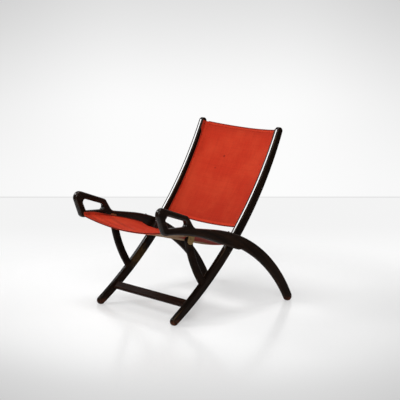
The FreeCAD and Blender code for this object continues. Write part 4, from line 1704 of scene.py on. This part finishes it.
@dataclass
class Studio:
    """The camera, the lights, the floor and the wall."""

    target: Triple = (0.0, 0.0924, 0.439345)
    azimuth: float = 47.261
    elevation: float = 10.371
    distance: float = 6.0099
    lens: float = 126.0
    sensor: float = 36.0
    wall_behind: float = 2.478
    wall_height: float = 4.0
    wall_level: float = 252.0
    floor_level: float = 249.0
    paper_reach: float = 6.0
    paper_ahead: float = 9.0
    boxes: tuple[SoftBox, ...] = (SoftBox("key", -60.7, 34.0, 3.02, (1.0, 0.8), 30.0),
                                  SoftBox("glint", -76.6, 33.9, 3.17, (0.3, 0.16), 1.8),
                                  SoftBox("front", 48.0, 27.0, 3.6, (1.6, 1.6), 66.0),
                                  SoftBox("top", 0.0, 80.0, 3.2, (1.3, 1.3), 68.0))
    fill: float = 0.16
    backdrop: float = 0.82

    def right_way(self) -> Vector:
        """The unit way to the right in the picture."""
        turn = math.radians(self.azimuth)
        return Vector((math.cos(turn), math.sin(turn), 0.0))

    def add_camera(self) -> None:
        """Makes the camera at the photograph's viewing angle."""
        data = bpy.data.cameras.new("view")
        data.lens = self.lens
        data.sensor_width = self.sensor
        way = way_to(self.azimuth, self.elevation)
        bpy.context.scene.camera = put_facing("view", data, Vector(self.target), way, self.distance)

    def add_lights(self) -> None:
        """Hangs the soft boxes and sets the fill all round, which shows as a pale backdrop."""
        for box in self.boxes:
            box.hang(Vector((0.0, 0.0, self.target[2])))
        world = bpy.data.worlds.new("studio")
        graph = Graph("studio", world)
        fill = graph.node("ShaderNodeBackground", inputs={"Color": WHITE, "Strength": self.fill})[0]
        pale = graph.node("ShaderNodeBackground", inputs={"Color": WHITE, "Strength": self.backdrop})[0]
        shown = graph.blend(graph.ray("Is Camera Ray"), fill, pale)
        graph.node("ShaderNodeOutputWorld", inputs={"Surface": shown})
        bpy.context.scene.world = world

    def add_paper(self) -> None:
        """Makes the pale floor and the wall behind it."""
        right = self.right_way()
        middle, across = (self.target[0], self.target[1]), (right.x, right.y)
        floor = FloorPaper("floor_paper", middle, across, self.floor_level).material()
        wall = WallPaper("wall_paper", middle, across, self.wall_level).material()
        away = Vector((-right.y, right.x, 0.0))
        foot = Vector((self.target[0], self.target[1], 0.0)) + away * self.wall_behind
        ahead = foot - away * self.paper_ahead
        side = right * self.paper_reach
        up = Vector((0.0, 0.0, self.wall_height))
        lying = [ahead - side, ahead + side, foot + side, foot - side]
        rising = [foot - side, foot + side, foot + side + up, foot - side + up]
        for name, corners, finish in (("floor", lying, floor), ("wall", rising, wall)):
            mesh = bpy.data.meshes.new(name)
            mesh.from_pydata([tuple(corner) for corner in corners], [], [(0, 1, 2, 3)])
            mesh.materials.append(finish)
            put(name, mesh)

    def build(self) -> None:
        """Sets the stage."""
        self.add_camera()
        self.add_lights()
        self.add_paper()
        bpy.context.scene.view_settings.view_transform = "Standard"
        LOG.info("set the studio")


def make_finishes(back: BackSling) -> Finishes:
    """Makes the chair's materials.

    Args:
        back: The back's sling, which knows the stiles' bend.

    Returns:
        The materials by use.
    """
    strut_station, bow_pitch, bow_reach = -0.17, 58.1, 0.8404
    contact, _ = back.on_stile(strut_station)
    bow_out = heading(bow_pitch)
    bow_centre = (back.pivot[0] - bow_reach * bow_out[0], back.pivot[1] - bow_reach * bow_out[1])
    reds = (tone(181, 46, 24), tone(191, 59, 33), tone(84, 22, 15))
    beiges = (tone(132, 104, 76), tone(142, 114, 86), tone(96, 74, 52))
    makers = {
        "stile": LacqueredTimber("stile_timber", GrainRun.BEND, back.bend_centre(), back.bend,
                                 rub_place=(contact.y, contact.z), rub_reach=0.075, rubbed=tone(88, 66, 38),
                                 lacquer_index=1.8, worn_below=(0.16, 0.38), gloss_middle=0.2364),
        "rail": LacqueredTimber("rail_timber", GrainRun.BEND, bow_centre, bow_reach, lacquer=0.35),
        "strut": LacqueredTimber("strut_timber", GrainRun.BEND, bow_centre, bow_reach, lacquer=0.0,
                                 rubbed=tone(34, 21, 14)),
        "stretcher": LacqueredTimber("stretcher_timber", GrainRun.ACROSS, lacquer=0.0,
                                     stain=tone(28, 15, 10), warm=tone(48, 28, 19)),
        "back_cloth": PlainWeave("back_red_cloth", *reds, low_shade=0.16,
                                 marks=((0.071, 0.088, 0.007), (0.096, 0.028, 0.005))),
        # The seat's cloth: painted shade on its underside, on the flange's rear and in lines along its
        # creases.
        "seat_cloth": PlainWeave("seat_red_cloth", *reds, half_length=0.2, underside_shade=tone(120, 36, 22),
                                 flange_painted_shade_from=-0.13,
                                 lines=((-0.172, 0.014, 0.3), (-0.125, 0.024, 0.16), (-0.06, 0.03, 0.2))),
        # The hem's line is painted shade at its fold.
        "hem": PlainWeave("hem_red_cloth", *reds, lines=((0.0, 0.009, 0.85),)),
        "canvas": PlainWeave("beige_canvas", *beiges, pitch=0.0009, half_length=0.2,
                             selvedge=tone(104, 80, 56)),
        "dark_thread": TwistedThread("dark_thread", tone(88, 18, 13), tone(60, 13, 10)),
        "red_thread": TwistedThread("red_thread", tone(170, 42, 26), tone(140, 34, 22)),
        "brass": AgedMetal("aged_brass", tone(170, 138, 92), tone(104, 80, 50)),
        "tack": AgedMetal("tarnished_tacks", tone(128, 62, 44), tone(84, 34, 24), 0.7),
        "steel": AgedMetal("dark_steel", tone(120, 116, 110), tone(52, 46, 40), 0.6),
        "stud": AgedMetal("blackened_steel", tone(46, 42, 38), tone(22, 18, 15), 0.6)}
    return Finishes(**{use: maker.material() for use, maker in makers.items()})


def main() -> None:
    """Builds the chair's dress piece by piece."""
    logging.basicConfig(level=logging.INFO, format="%(name)s: %(message)s")
    Studio().build()
    back, seat, fittings = BackSling(), SeatSling(), Fittings()
    finishes = make_finishes(back)
    stitch, dome, slotted = stitch_tree(), dome_tree(), slot_tree()
    Timber().dress(finishes)
    fittings.dress(finishes)
    fittings.build(finishes, dome, slotted)
    back.build(finishes.back_cloth, finishes.red_thread, finishes, stitch, dome)
    seat.build(finishes.seat_cloth, finishes.dark_thread, finishes, stitch, dome)


if __name__ == "__main__":
    main()
